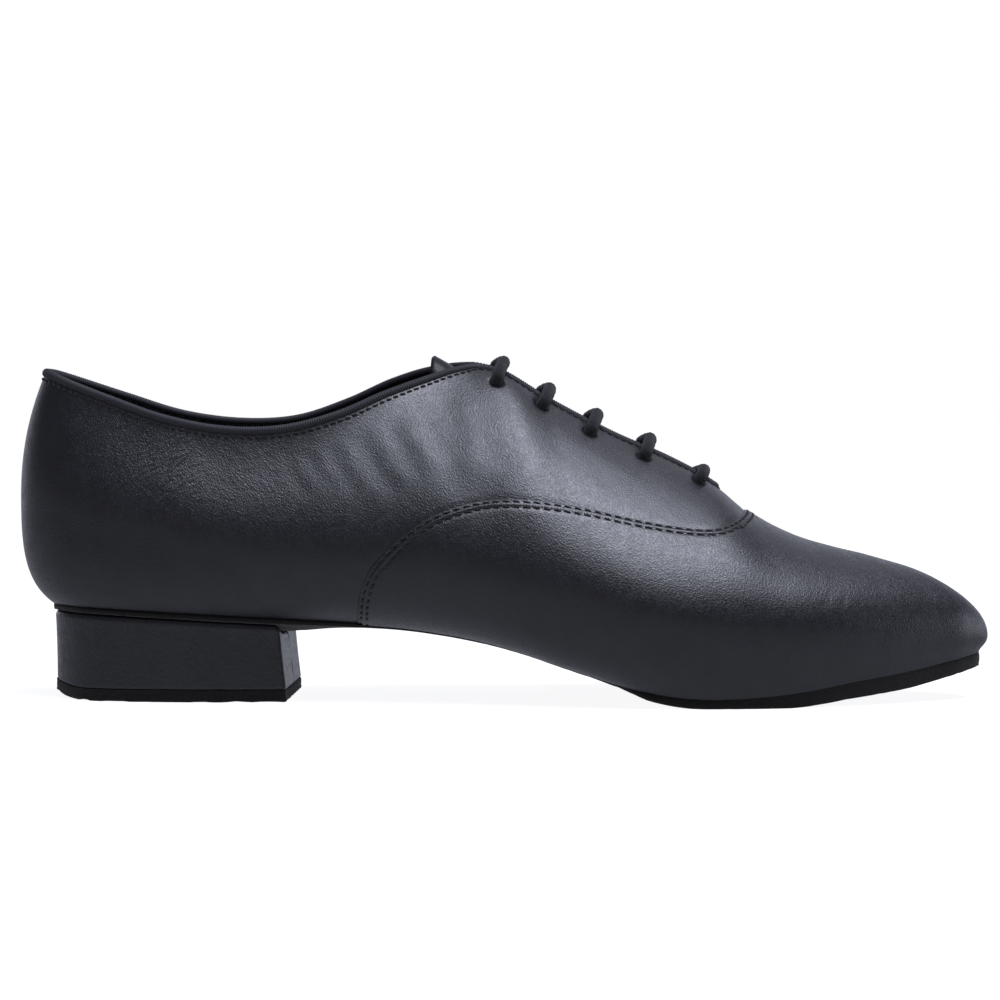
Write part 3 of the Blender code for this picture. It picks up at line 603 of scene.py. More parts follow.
def quarter_lift(signed):
    """The quarters dip where the vamp laps them."""
    return -0.16 * MM * np.exp(-((np.minimum(signed, 0) / (0.9 * MM)) ** 2))


# ---------------------------------------------------------------- mesh helpers


def moved(points):
    """Points of the last, in the part's frame."""
    return points - np.array((ORIGIN_X, 0, 0))


def grid_faces(columns, rows, closed=False, kept=None):
    """Quads of a grid whose points run row by row within each column."""
    i, j = np.meshgrid(np.arange(columns if closed else columns - 1), np.arange(rows - 1), indexing="ij")
    i, j = i.ravel(), j.ravel()
    if kept is not None:
        hold = kept[i, j]
        i, j = i[hold], j[hold]
    after = (i + 1) % columns
    return np.stack([i * rows + j, after * rows + j, after * rows + j + 1, i * rows + j + 1], 1)


def tube_faces(columns, around, closed):
    """Quads of a tube whose points run round each ring, ring after ring."""
    i, j = np.meshgrid(np.arange(columns if closed else columns - 1), np.arange(around), indexing="ij")
    i, j = i.ravel(), j.ravel()
    after, turn = (i + 1) % columns, (j + 1) % around
    return np.stack([i * around + j, i * around + turn, after * around + turn, after * around + j], 1)


def whole_cells(kept):
    """Cells of a closed grid whose four corners are all kept."""
    kept = kept & np.roll(kept, -1, 0)
    return kept[:, :-1] & kept[:, 1:]


def tube_rings(line, across, up, wide, high, around):
    """Rings of points round a line, with half widths along two directions."""
    angles = np.arange(around) / around * 2 * math.pi
    aside, above = (np.cos(angles) * wide)[..., None], (np.sin(angles) * high)[..., None]
    return line[:, None] + across[:, None] * aside + up[:, None] * above


class Shape:
    """Points and faces of one piece, gathered part by part."""

    def __init__(self):
        self.points, self.faces, self.count = [], [], 0

    def add(self, points, faces=()):
        self.points.append(np.asarray(points, float).reshape(-1, 3))
        self.join(np.asarray(faces) + self.count)
        self.count += len(self.points[-1])

    def join(self, faces):
        """Faces between points that are already there."""
        self.faces += faces.tolist()

    def tube(self, rings, closed=False):
        count, around = rings.shape[:2]
        start = self.count
        self.add(rings, tube_faces(count, around, closed))
        if not closed:
            ends = np.arange(around)[::-1] + start, np.arange(around) + start + (count - 1) * around
            self.join(np.array(ends))

    def piece(self, name, look, slot, *nodes, weld=0.0, outward=False):
        """The piece made of this shape, its doubled points welded and its faces turned outward where asked."""
        mesh = bpy.data.meshes.new(name)
        mesh.from_pydata(moved(np.concatenate(self.points)).tolist(), [], self.faces)
        shape = bmesh.new()
        shape.from_mesh(mesh)
        if weld:
            bmesh.ops.remove_doubles(shape, verts=shape.verts, dist=weld)
            bmesh.ops.dissolve_degenerate(shape, edges=shape.edges, dist=weld * 0.5)
            loose = [v for v in shape.verts if not v.link_faces]
            bmesh.ops.delete(shape, geom=loose, context="VERTS")
        if outward:
            bmesh.ops.recalc_face_normals(shape, faces=shape.faces)
        shape.to_mesh(mesh)
        shape.free()
        mesh.shade_smooth()
        mesh.materials.append(look)
        made = bpy.data.objects.new(name, mesh)
        bpy.context.scene.collection.objects.link(made)
        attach(made, "root")
        if nodes:
            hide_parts(*nodes)
        return made


def smooth_path(points, spacing, closed=False):
    """A Catmull-Rom curve through points, in even steps."""
    points = np.asarray(points, float)
    if closed:
        fine = curve(np.concatenate([points[-1:], points, points[:2]]), 0.1)
        fine = np.concatenate([fine, fine[:1]])
    else:
        fine = curve(np.concatenate([points[:1] * 2 - points[1:2], points, points[-1:] * 2 - points[-2:-1]]), 0.1)
        fine = np.concatenate([fine, points[-1:]])
    run = np.concatenate([[0], np.cumsum(np.linalg.norm(np.diff(fine[:, :3], axis=0), axis=1))])
    count = max(4, int(round(run[-1] / spacing)))
    wanted = np.linspace(0, run[-1], count + 1)
    even = np.stack([np.interp(wanted, run, column) for column in fine.T], 1)
    return even[:-1] if closed else even


def rough(points, size, seed):
    """Smooth random values at points, about -1 to 1: a sum of waves, the same each run."""
    source = np.random.default_rng(seed)
    waves = 14
    total = np.zeros(len(points))
    for _ in range(waves):
        direction = unit(source.normal(size=3))
        length = size * source.uniform(0.6, 1.6)
        total += np.sin(points @ direction * 2 * math.pi / length + source.uniform(0, 7))
    return total / waves * 2.2


# ---------------------------------------------------------------- looks


class Look:
    """A procedural material: a Principled shader with its textures placed in metres."""

    def __init__(self, name, colour, roughness):
        self.made = bpy.data.materials.new(name)
        self.made.use_nodes = True
        self.nodes, self.links = self.made.node_tree.nodes, self.made.node_tree.links
        self.shader = self.nodes["Principled BSDF"]
        self.place = self.nodes.new("ShaderNodeTexCoord").outputs["Object"]
        self.normal = None
        self.set({"Base Color": (*colour, 1), "Roughness": roughness})

    def set(self, values, node=None):
        """Inputs by name or number: a number or a colour is set, another node's output is linked."""
        for socket, value in values.items():
            target = (node or self.shader).inputs[socket]
            if hasattr(value, "links"):
                self.links.new(value, target)
            else:
                target.default_value = value

    def add(self, kind, values, output=0, **settings):
        node = self.nodes.new("ShaderNode" + kind)
        for field, value in settings.items():
            setattr(node, field, value)
        self.set(values, node)
        return node.outputs[output]

    def streaked(self, angle, stretch):
        """Places for a texture drawn out along a line in side view, at an angle from upright towards the toe."""
        turn = (0, math.radians(angle), 0)
        values = {"Vector": self.place, "Rotation": turn, "Scale": (1, 1, stretch)}
        return self.add("Mapping", values, vector_type="TEXTURE")

    def near(self, spot, inner, outer):
        """1 within a distance of a point, falling to 0 at a greater one."""
        distance = self.add("VectorMath", {0: self.place, 1: [n * MM for n in spot]}, "Value", operation="DISTANCE")
        return self.spread(distance, inner * MM, outer * MM, 1.0, 0.0)

    def noise(self, size, detail=2.0, roughness=0.5, place=None):
        values = {"Vector": place or self.place, "Scale": 1 / size, "Detail": detail, "Roughness": roughness}
        return self.add("TexNoise", values, "Fac")

    def math(self, operation, first, second):
        return self.add("Math", {0: first, 1: second}, operation=operation)

    def spread(self, value, low, high, to_low=0.0, to_high=1.0):
        values = {"Value": value, "From Min": low, "From Max": high, "To Min": to_low, "To Max": to_high}
        return self.add("MapRange", values, "Result", interpolation_type="SMOOTHSTEP")

    def colours(self, value, first, second):
        return self.add("Mix", {0: value, 6: (*first, 1), 7: (*second, 1)}, 2, data_type="RGBA")

    def bump(self, height, depth, strength=1.0):
        values = {"Strength": strength, "Distance": depth, "Height": height}
        if self.normal:
            values["Normal"] = self.normal
        self.normal = self.add("Bump", values, "Normal")
        self.set({"Normal": self.normal})


WRINKLED = [  # fine wrinkles of the leather: centre, inner and outer reach in mm of the frame, angle, depth
    ((2, -28, 68), 4, 17, 52, 0.28),
    ((28, -26, 66), 3, 14, -42, 0.10),
    ((2, 28, 68), 4, 17, 52, 0.24),
    ((199, -28, 26), 2, 11, 12, 0.16),
    ((199, 28, 26), 2, 11, 12, 0.16),
]


def leather_look(name, grain, wrinkle, shine):
    """Smooth black leather: its grain's size, the depth of its creases as a share, and its gloss."""
    look = Look(name, (0.004, 0.004, 0.006), 0.38)
    look.set({"Specular IOR Level": shine, "Coat Weight": 0.12, "Coat Roughness": 0.32})
    tone = look.spread(look.noise(9 * MM, 4.0, 0.6), 0.3, 0.7)
    look.set({"Base Color": look.colours(tone, (0.0036, 0.0037, 0.0056), (0.0062, 0.0063, 0.0092))})
    pores = look.noise(grain, 1.5, 0.55, look.streaked(-35, 1.7))
    dull = look.spread(look.noise(2.6 * MM, 3.0, 0.6), 0.3, 0.7, -0.04, 0.04)
    look.set({"Roughness": look.math("ADD", dull, look.spread(pores, 0.36, 0.64, 0.46, 0.32))})
    look.bump(pores, 0.15 * MM)
    look.bump(look.noise(1.1 * MM, 1.5, 0.5, look.streaked(-42, 4)), 0.03 * MM * wrinkle)
    look.bump(look.noise(13 * MM, 2.0, 0.5, look.streaked(-35, 1.8)), 0.27 * MM * wrinkle)
    for spot, inner, outer, angle, depth in WRINKLED if wrinkle else ():
        fine = look.noise(0.95 * MM, 1.5, 0.5, look.streaked(angle, 7))
        look.bump(look.math("MULTIPLY", fine, look.near(spot, inner, outer)), depth * MM)
    return look.made


def suede_look(name, tone):
    look = Look(name, (0.0065 * tone, 0.0065 * tone, 0.0068 * tone), 0.95)
    look.set({"Specular IOR Level": 0.15, "Sheen Weight": 0.10, "Sheen Roughness": 0.5})
    nap = look.noise(0.35 * MM, 5.0, 0.75)
    dark, light = (0.0035 * tone, 0.0035 * tone, 0.0037 * tone), (0.013 * tone, 0.013 * tone, 0.0135 * tone)
    look.set({"Base Color": look.colours(look.spread(nap, 0.35, 0.68), dark, light)})
    look.bump(nap, 0.25 * MM, 0.9)
    look.bump(look.noise(3 * MM, 3.0, 0.6), 0.3 * MM, 0.4)
    return look.made


def tape_look():
    look = Look("ribbed_tape", (0.012, 0.012, 0.016), 0.6)
    look.set({"Specular IOR Level": 0.35, "Sheen Weight": 0.12})
    weave = look.noise(0.22 * MM, 4.0, 0.7)
    dark, light = (0.007, 0.007, 0.010), (0.020, 0.020, 0.026)
    look.set({"Base Color": look.colours(look.spread(weave, 0.3, 0.7), dark, light)})
    look.bump(weave, 0.06 * MM, 0.7)
    return look.made


def lining_look():
    look = Look("mesh_lining", (0.006, 0.006, 0.007), 0.85)
    look.set({"Specular IOR Level": 0.25})
    cells = look.add("TexVoronoi", {"Vector": look.place, "Scale": 1 / (0.95 * MM)}, "Distance")
    holes = look.spread(cells, 0.25, 0.5)
    look.set({"Base Color": look.colours(holes, (0.0016, 0.0016, 0.0018), (0.016, 0.016, 0.019))})
    look.bump(holes, 0.25 * MM, 0.9)
    look.bump(look.noise(0.25 * MM, 3.0, 0.6), 0.05 * MM, 0.6)
    return look.made


def sock_look():
    look = Look("insole_sock", (0.012, 0.012, 0.014), 0.7)
    wear = look.spread(look.noise(16 * MM, 3.0, 0.5), 0.35, 0.7)
    colour = look.colours(wear, (0.010, 0.010, 0.012), (0.018, 0.018, 0.020))
    worn = look.spread(wear, 0.0, 1.0, 0.72, 0.6)
    look.set({"Specular IOR Level": 0.3, "Base Color": colour, "Roughness": worn})
    look.bump(look.noise(0.5 * MM, 4.0, 0.6), 0.08 * MM, 0.6)
    return look.made


def cord_look(name, size, tone):
    look = Look(name, (0.010 * tone, 0.010 * tone, 0.012 * tone), 0.8)
    look.set({"Specular IOR Level": 0.3, "Sheen Weight": 0.15})
    yarn = look.noise(size, 4.0, 0.7)
    dark, light = (0.006 * tone, 0.006 * tone, 0.007 * tone), (0.018 * tone, 0.018 * tone, 0.021 * tone)
    look.set({"Base Color": look.colours(look.spread(yarn, 0.3, 0.7), dark, light)})
    look.bump(yarn, size * 1.1)
    return look.made


LEATHER = leather_look("calf_leather", 0.42 * MM, 1.0, 0.65)
HEEL_LEATHER = leather_look("heel_leather", 0.8 * MM, 0, 0.65)
TONGUE_LEATHER = leather_look("tongue_leather", 0.5 * MM, 0, 0.2)
SUEDE = suede_look("sole_suede", 0.6)
LIFT = suede_look("lift_suede", 0.75)
TAPE = tape_look()
MESH = lining_look()
SOCK = sock_look()
CORD = cord_look("lace_braid", 0.42 * MM, 0.65)
THREAD = cord_look("sewing_thread", 0.12 * MM, 0.35)

# ---------------------------------------------------------------- vamp

WELD = 0.004 * MM
FAR = 3.6 * MM  # the regular grid of the vamp starts this far from the seam
LIP_STEPS = np.array((0.10, 0.24, 0.42, 0.66, 0.86, 1.06, 1.3, 1.6, 1.9, 2.2, 2.5, 2.75, 3.0, 3.3)) * MM
CELL = np.array((0.64, 0.62))  # cell size of the grid for the triangulation
CLEAR = 0.3  # least distance of a loose point from the grid's border there
FAR_CELLS = whole_cells(SIGNED >= FAR)


def seam_band(side):
    """Places and triangles between the vamp's cut edge and its regular grid, on one side."""
    columns = range(0, MIDDLE) if side < 0 else range(MIDDLE, COLUMNS)
    seam = SEAMS[side]
    places, edges, numbers = [tuple(p) for p in seam], [(n, n + 1) for n in range(len(seam) - 1)], {}

    def node(i, j):
        if (i, j) not in numbers:
            numbers[i, j] = len(places)
            places.append((float(i), float(j)))
        return numbers[i, j]

    cells = np.zeros((COLUMNS + 2, ROWS + 1), bool)
    cells[1 : COLUMNS + 1, 1:ROWS] = FAR_CELLS
    for i in columns:
        for j in range(ROWS - 1):
            if not cells[i + 1, j + 1]:
                continue
            if not cells[i, j + 1] and i > columns[0]:
                edges.append((node(i, j), node(i, j + 1)))
            if not cells[i + 2, j + 1] and i < columns[-1]:
                edges.append((node(i + 1, j), node(i + 1, j + 1)))
            if j > 0 and not cells[i + 1, j]:
                edges.append((node(i, j), node(i + 1, j)))
            if j < ROWS - 2 and not cells[i + 1, j + 2]:
                edges.append((node(i, j + 1), node(i + 1, j + 1)))
    signed = SIGNED[columns[0] : columns[-1] + 1]
    for i, j in zip(*np.nonzero((signed > FAR - 0.1 * MM) & (signed < FAR + 2 * MM))):
        node(columns[0] + int(i), int(j))
    tree = kdtree.KDTree(len(numbers))
    for n, (i, j) in enumerate(np.array([*numbers], float) * CELL):
        tree.insert((i, j, 0), n)
    tree.balance()
    extra = []
    for distance in LIP_STEPS:
        for i, j in across_seam(side, distance)[:: 1 if distance < 0.8 * MM else 2]:
            if tree.find((i * CELL[0], j * CELL[1], 0))[2] > CLEAR and 0.2 < j < ROWS - 1.3:
                extra.append((i, j))
        for end, row in ((seam[-1], ROWS - 1.0), (seam[0], 0.0)):
            ahead, behind = on_grid(SKIN, end[None] + (0.5, 0)), on_grid(SKIN, end[None] - (0.5, 0))
            extra.append((end[0] - side * distance / np.linalg.norm(ahead - behind), row))
    flat = [Vector(p) for p in np.concatenate([np.array(places), np.array(extra)]) * CELL]
    verts, _, faces, *_ = geometry.delaunay_2d_cdt(flat, edges, [], 0, 1e-6)
    verts = np.array([tuple(v) for v in verts]) / CELL
    front = MIDDLE - side * 5
    reach = [(front, ROWS + 9.0), (front, -9.0)]
    outline = np.concatenate([seam[:1] - (0, 9), seam, seam[-1:] + (0, 9), reach])
    faces = np.array([f for f in faces if len(f) == 3])
    centres = verts[faces].mean(1)
    i, j = np.floor(centres).astype(int).T
    good = inside(centres, outline) & ~FAR_CELLS[i % COLUMNS, np.clip(j, 0, ROWS - 2)]
    good &= (centres[:, 0] > columns[0]) & (centres[:, 0] < columns[-1] + 1)
    return verts, faces[good]


def seat_line():
    """x, z, outer and inner half width and belly of the seat line, from heel to toe."""
    steps = np.arange(10 * HALF + 1) / 10
    outer, inner = ring_values(steps), ring_values(COUNT - steps)
    return np.stack([outer[:, 0], outer[:, 2], -outer[:, 1], inner[:, 1], outer[:, 13]])


SEAT_LINE = seat_line()


def seat_height(x, y):
    z, outer, inner, belly = (float(np.interp(x, SEAT_LINE[0], row)) for row in SEAT_LINE[1:])
    share = (y + outer) / max(outer + inner, GAP)
    return z - belly * 4 * max(0.0, share * (1 - share))


def seat_point(position, move):
    """A point of the seat line in plan, moved outward."""
    here, ahead, behind = ring_values([position, position + 0.1, position - 0.1])[:, :2]
    along = ahead - behind
    outward = unit(np.array((-along[1], along[0])))
    if outward @ (here - np.array((LENGTH / 2, 0))) < 0:
        outward = -outward
    return here + outward * (move(here[0]) if callable(move) else move)


def add_margin(shape, columns, edge):
    """The upper's lasting margin, turned in under the seat line: four points for each column, up to its edge."""
    rows = []
    for distance in (5 * MM, 3 * MM, 1.2 * MM):
        spots = [seat_point(POSITIONS[i], -distance) for i in columns]
        rows.append([(x, y, seat_height(x, y) - 0.12 * MM) for x, y in spots])
    shape.add(np.stack([*np.array(rows), edge], axis=1), grid_faces(len(columns), 4))


def vamp():
    shape = Shape()
    lift = vamp_lift(np.maximum(SIGNED, FAR)) + crease_depth(SKIN)
    shape.add(SKIN + NORMALS * lift[..., None], grid_faces(COLUMNS, ROWS, True, FAR_CELLS))
    for side in (-1, 1):
        places, triangles = seam_band(side)
        at, normal = on_grid(SKIN, places), unit(on_grid(NORMALS, places))
        band = at + normal * (vamp_lift(*from_seam(at)) + crease_depth(at))[:, None]
        on_node = np.abs(places - np.round(places)).max(1) < 1e-6
        i, j = np.round(places[on_node]).astype(int).T
        i = i % COLUMNS
        whole = vamp_lift(np.maximum(SIGNED[i, j], 0)) + crease_depth(SKIN[i, j])
        band[on_node] = SKIN[i, j] + NORMALS[i, j] * whole[:, None]
        shape.add(band, triangles)
        seam = SEAMS[side]
        at, normal = on_grid(SKIN, seam), unit(on_grid(NORMALS, seam))
        top = at + normal * (vamp_lift(np.zeros(len(seam))) + crease_depth(at))[:, None]
        shape.add(np.stack([top, at - normal * 0.3 * MM], 1), grid_faces(len(seam), 2)[:, ::-side])
    columns = [i for i in range(COLUMNS) if SIGNED[i, 0] > -0.6 * MM]
    lift = vamp_lift(np.maximum(SIGNED[columns, 0], FAR))
    add_margin(shape, columns, SKIN[columns, 0] + NORMALS[columns, 0] * lift[:, None])
    return shape.piece("vamp", LEATHER, "leather", "upper", weld=WELD)


# ---------------------------------------------------------------- quarters and lining

TOP_ROWS = (0.3 * MM, 0.8 * MM, 1.3 * MM)  # leather going up into the binding
OPEN = ~closing


def edge_ways():
    """At each column, the direction in which the upper's edge goes on into the binding."""
    along = unit(np.roll(RIBS.top, -1, 0) - np.roll(RIBS.top, 1, 0))
    return unit(RIBS.tangent - along * (RIBS.tangent * along).sum(1)[:, None])


AWAY = edge_ways()


def extended(offset):
    """The grid at an offset along its normals, with the rows that go up into the binding."""
    base = SKIN + NORMALS * offset[..., None]
    return np.concatenate([base] + [(base[:, -1] + AWAY * step)[:, None] for step in TOP_ROWS], axis=1)


def quarter(side, name):
    grid = extended(quarter_lift(SIGNED) + crease_depth(SKIN))
    nodes = np.concatenate([SIGNED < FAR + 0.5 * MM] + [OPEN[:, None]] * len(TOP_ROWS), axis=1)
    kept = whole_cells(nodes) & ((np.arange(COLUMNS) < MIDDLE) == (side < 0))[:, None]
    shape = Shape()
    shape.add(grid, grid_faces(COLUMNS, grid.shape[1], True, kept))
    columns = [i for i in range(COLUMNS + 1) if (i <= MIDDLE) == (side < 0)]
    columns = [i % COLUMNS for i in columns if SIGNED[i % COLUMNS, 0] < 1 * MM]
    add_margin(shape, columns, grid[columns, 0])
    punch(shape.piece(name, LEATHER, "leather", weld=WELD), side)


def eyelets():
    """(point, normal) of each eyelet, in pairs from the top down, outer side first."""
    pairs = []
    for share in EYELET_SHARES:
        position = position_at(CORNER_X + (THROAT_X - CORNER_X) * share, TOP_X, CORNER_RIB - 1, THROAT_RIB)
        spots = [rib_frames(place, [EYELET_INSET]) for place in (position, COUNT - position)]
        pairs.append([(points[0], normals[0]) for points, normals in spots])
    return pairs


EYELETS = eyelets()


def punch(made, side, walls=True):
    """Round holes through a panel at the eyelets, with their cut walls."""
    radius = EYELET_WIDTH / 2
    shape = bmesh.new()
    shape.from_mesh(made.data)
    for pair in EYELETS:
        centre, normal = pair[0 if side < 0 else 1]
        centre, normal = Vector(moved(centre)), Vector(normal)

        def flat(p):
            offset = p - centre
            return offset - normal * offset.dot(normal), offset.dot(normal)

        near = [v for v in shape.verts if (v.co - centre).length < 8 * MM]
        doomed = {v for v in near if flat(v.co)[0].length < radius and abs(flat(v.co)[1]) < 3.5 * MM}
        rim = {v for d in doomed for f in d.link_faces for v in f.verts} - doomed
        bmesh.ops.delete(shape, geom=list(doomed), context="VERTS")
        for v in rim:
            across, high = flat(v.co)
            v.co = centre + across.normalized() * radius + normal * high
        edges = {e for v in rim for e in v.link_edges if e.is_boundary and e.other_vert(v) in rim}
        for drop, pull in ((0.12 * MM, 0.1 * MM), (1.3 * MM, 0.05 * MM)) if walls else ():
            wall = bmesh.ops.extrude_edge_only(shape, edges=list(edges))["geom"]
            edges = {g for g in wall if isinstance(g, bmesh.types.BMEdge)}
            for v in {v for e in edges for v in e.verts}:
                v.co = v.co - flat(v.co)[0].normalized() * pull - normal * drop
            edges = {e for e in edges if e.is_boundary}
    bmesh.ops.recalc_face_normals(shape, faces=shape.faces)
    shape.to_mesh(made.data)
    shape.free()
    made.data.shade_smooth()


def lining():
    """Mesh lining on the inside of the wall, from the insole up into the binding, on half the grid's lines."""
    grid = extended(np.full(SKIN.shape[:2], -WALL + 0.08 * MM))
    rows = [*range(8, ROWS - 1, 2), *range(ROWS - 1, ROWS + len(TOP_ROWS))]
    part = grid[::2][:, rows]
    nodes = np.ones(part.shape[:2], bool)
    nodes[:, -len(TOP_ROWS) :] = OPEN[::2, None]
    shape = Shape()
    shape.add(part, grid_faces(*nodes.shape, True, whole_cells(nodes))[:, ::-1])
    made = shape.piece("lining", MESH, "lining", weld=WELD)
    for side in (-1, 1):
        punch(made, side, walls=False)


# ---------------------------------------------------------------- binding and stitches

LAST_OPEN = np.nonzero(OPEN[:MIDDLE])[0].max()
COLLAR = np.arange(-LAST_OPEN, LAST_OPEN + 1)  # columns round the collar, from the throat to the throat
RIB = 0.74 * MM  # of the tape
RIB_STEPS = 5


def binding():
    """Grosgrain tape rolled over the collar, the facings and the throat's end, with its cross ribs."""
    order = np.roll(COLLAR, -LAST_OPEN)
    even = smooth_path(np.concatenate([RIBS.top[order], AWAY[order]], axis=1)[::3], RIB / RIB_STEPS, True)
    tops, ways = even[:, :3], unit(even[:, 3:6])
    along = unit(np.roll(tops, -1, 0) - np.roll(tops, 1, 0))
    ways = unit(ways - along * (ways * along).sum(1)[:, None])
    out = unit(np.cross(along, ways))
    around = 14
    slant = np.sin(np.arange(around) / around * 2 * math.pi)[None] * 0.55
    ribs = np.cos((np.arange(len(tops))[:, None] / RIB_STEPS + slant) * 2 * math.pi)
    high = BINDING_WIDTH / 2 * (1.00 + 0.075 * ribs)
    thick = BINDING_WIDTH / 2 * (0.92 + 0.09 * ribs)
    shape = Shape()
    shape.tube(tube_rings(tops + ways * 1.66 * MM - out * 0.35 * MM, ways, out, high, thick, around), True)
    return shape.piece("binding_tape", TAPE, "binding", "collar_binding")


def stitches(rows, name, pitch, thread, proud, slant):
    """Rows of short threads, each bedded at both ends: one mesh. A row is (points, normals, run)."""
    share = np.linspace(-1, 1, 6)
    half = thread / 2 * np.sqrt(np.clip(1 - np.abs(share) ** 4, 0.05, 1))[:, None]
    shape = Shape()
    for path, normals, run in rows:
        for centre in np.arange(math.ceil(run[0] / pitch) + 0.5, run[-1] / pitch - 0.5) * pitch:
            spots = centre + share * pitch * 0.41
            line = np.stack([np.interp(spots, run, column) for column in path.T], 1)
            up = unit(np.stack([np.interp(spots, run, column) for column in normals.T], 1))
            line = line + up * (proud - 0.30 * MM * share**4)[:, None]
            along = unit(np.gradient(line, axis=0))
            across = unit(np.cross(along, up))
            line = line + across * (share * slant)[:, None]
            shape.tube(tube_rings(line, across, np.cross(across, along), half, half, 6))
    return shape.piece(name, THREAD, "lining")


def evened(values, reach):
    """Values along a row, each averaged with those up to reach places away."""
    padded = np.concatenate([values[:1]] * reach + [values] + [values[-1:]] * reach)
    return sum(padded[n : n + len(values)] for n in range(2 * reach + 1)) / (2 * reach + 1)


def vamp_stitches():
    rows = []
    for side in (-1, 1):
        for distance in STITCH_ROWS:
            places = across_seam(side, distance)
            kept = (places[:, 1] > 1) & (places[:, 1] <= ROWS - 1)
            run = np.nonzero(kept)[0] * SEAM_STEP
            at, normal = on_grid(SKIN, places[kept]), unit(on_grid(NORMALS, places[kept]))
            lift = vamp_lift(np.full(len(at), distance)) + crease_depth(at)
            rows.append((evened(at + normal * lift[:, None], 3), evened(normal, 3), run))
    return stitches(rows, "vamp_stitches", STITCH_PITCH, 0.78 * MM, 0.10 * MM, 0.2 * MM)


def collar_stitches():
    spacing = 0.5 * MM
    path = np.concatenate([RIBS.top[COLLAR] - AWAY[COLLAR] * 0.45 * MM, NORMALS[COLLAR, -1]], axis=1)
    even = smooth_path(path[::3], spacing)
    row = (even[:, :3], unit(even[:, 3:]), np.arange(len(even)) * spacing)
    return stitches([row], "collar_stitches", 2.3 * MM, 0.78 * MM, 0.05 * MM, 0.15 * MM)


# ---------------------------------------------------------------- tongue


def slab(name, tops, bottoms, look, slot, node, rounding):
    """A closed sheet between two grids of points, with its border edges rounded."""
    rows, across = tops.shape[:2]
    order = [(0, k) for k in range(across)] + [(i, across - 1) for i in range(1, rows)]
    order += [(rows - 1, k) for k in range(across - 2, -1, -1)] + [(i, 0) for i in range(rows - 2, 0, -1)]
    i, k = np.array(order).T
    quads = grid_faces(rows, across)
    shape = Shape()
    shape.add(tops, quads)
    shape.add(bottoms, quads[:, ::-1])
    rim_top, rim_low = tops[i, k], bottoms[i, k]
    out = unit(rim_top - tops[np.clip(i, 1, rows - 2), np.clip(k, 1, across - 2)] + 1e-9)
    loops = [i * across + k]
    for share in np.linspace(0, 1, 6)[1:-1]:
        loops.append(np.arange(len(order)) + shape.count)
        shape.add(rim_top * (1 - share) + rim_low * share + out * (math.sin(math.pi * share) * rounding))
    loops.append(loops[0] + rows * across)
    for high, low in zip(loops, loops[1:]):
        shape.join(np.stack([high, low, np.roll(low, -1), np.roll(high, -1)], 1))
    return shape.piece(name, look, slot, node, weld=WELD, outward=True)


def tongue():
    depth = WALL + TONGUE_DROP
    shares = np.linspace(-1, 1, 25)
    middle = len(shares) // 2
    start = 11.45  # ring position of its upper end
    tops, bottoms = [], []
    for p in np.concatenate([np.arange(start, 12, 0.08), np.arange(12, 15.61, 0.12)]):
        reach = TONGUE_REACH * min(1.0, 0.5 + 1.2 * (p - start))
        outer = rib_frames(p, -shares[:middle] * reach)
        inner = rib_frames(COUNT - p, shares[middle:] * reach)
        points, normals = (np.concatenate(halves) for halves in zip(outer, inner))
        points[middle, 1] = normals[middle, 1] = 0
        normals = unit(normals)
        tops.append(points - normals * depth)
        bottoms.append(points - normals * (depth + TONGUE_THICKNESS))
    ridge = Ribs([CORNER_RIB]).ridge[0]
    spine = [(ridge[0] - TAB_LENGTH * back, 0, ridge[2] + TAB_LENGTH * up, wide) for back, up, wide in TAB]
    spine = smooth_path(spine, 0.9 * MM)
    middles = spine[:, :3]
    for n in range(len(spine)):
        along = middles[min(n + 1, len(spine) - 1)] - middles[max(n - 1, 0)]
        square = unit(np.array((along[2], 0, -along[0])))
        flare = np.clip((n - 7) / (len(spine) - 8), 0, 1)
        radius = TAB_CURVE + (TAB_RADIUS - TAB_CURVE) * flare
        turn = shares * (TAB_WIDTH * spine[n, 3] / 2 * (1 + 0.75 * flare) / radius)
        sag = unit(square * (1 - flare) + UP * flare)
        side_way = np.array((0, 1, 0))
        row = middles[n] + side_way * radius * np.sin(turn)[:, None] - sag * radius * (1 - np.cos(turn))[:, None]
        tops.insert(0, row)
        bottoms.insert(0, row - square * TONGUE_THICKNESS)
    return slab(
        "tongue_leather", np.array(tops), np.array(bottoms), TONGUE_LEATHER, "leather", "tongue", 0.5 * MM
    )


# ---------------------------------------------------------------- lace

HALF_LACE = LACE_WIDTH / 2
FLAT_LACE = 0.72 * MM  # half its height where the facings press on it
UNDER = WALL + 0.95 * MM  # depth of its hidden runs
LACE_STEP = 0.26 * MM
BRAID_PITCH = 7.2 * MM
STRANDS = 6
OUTER, INNER = 0, 1


def below(row, side, toward):
    """Places of the lace from an eyelet down and on under the facing: (point, normal, half its height)."""
    c, n = EYELETS[row][side]
    way = unit(EYELETS[toward][side][0] - c)
    return [
        (c - n * 1.2 * MM, n, HALF_LACE * 0.92),
        (c - n * 2.5 * MM + way * 0.5 * MM, n, HALF_LACE * 0.7),
        (c - n * UNDER + way * 2.6 * MM, n, FLAT_LACE),
    ]


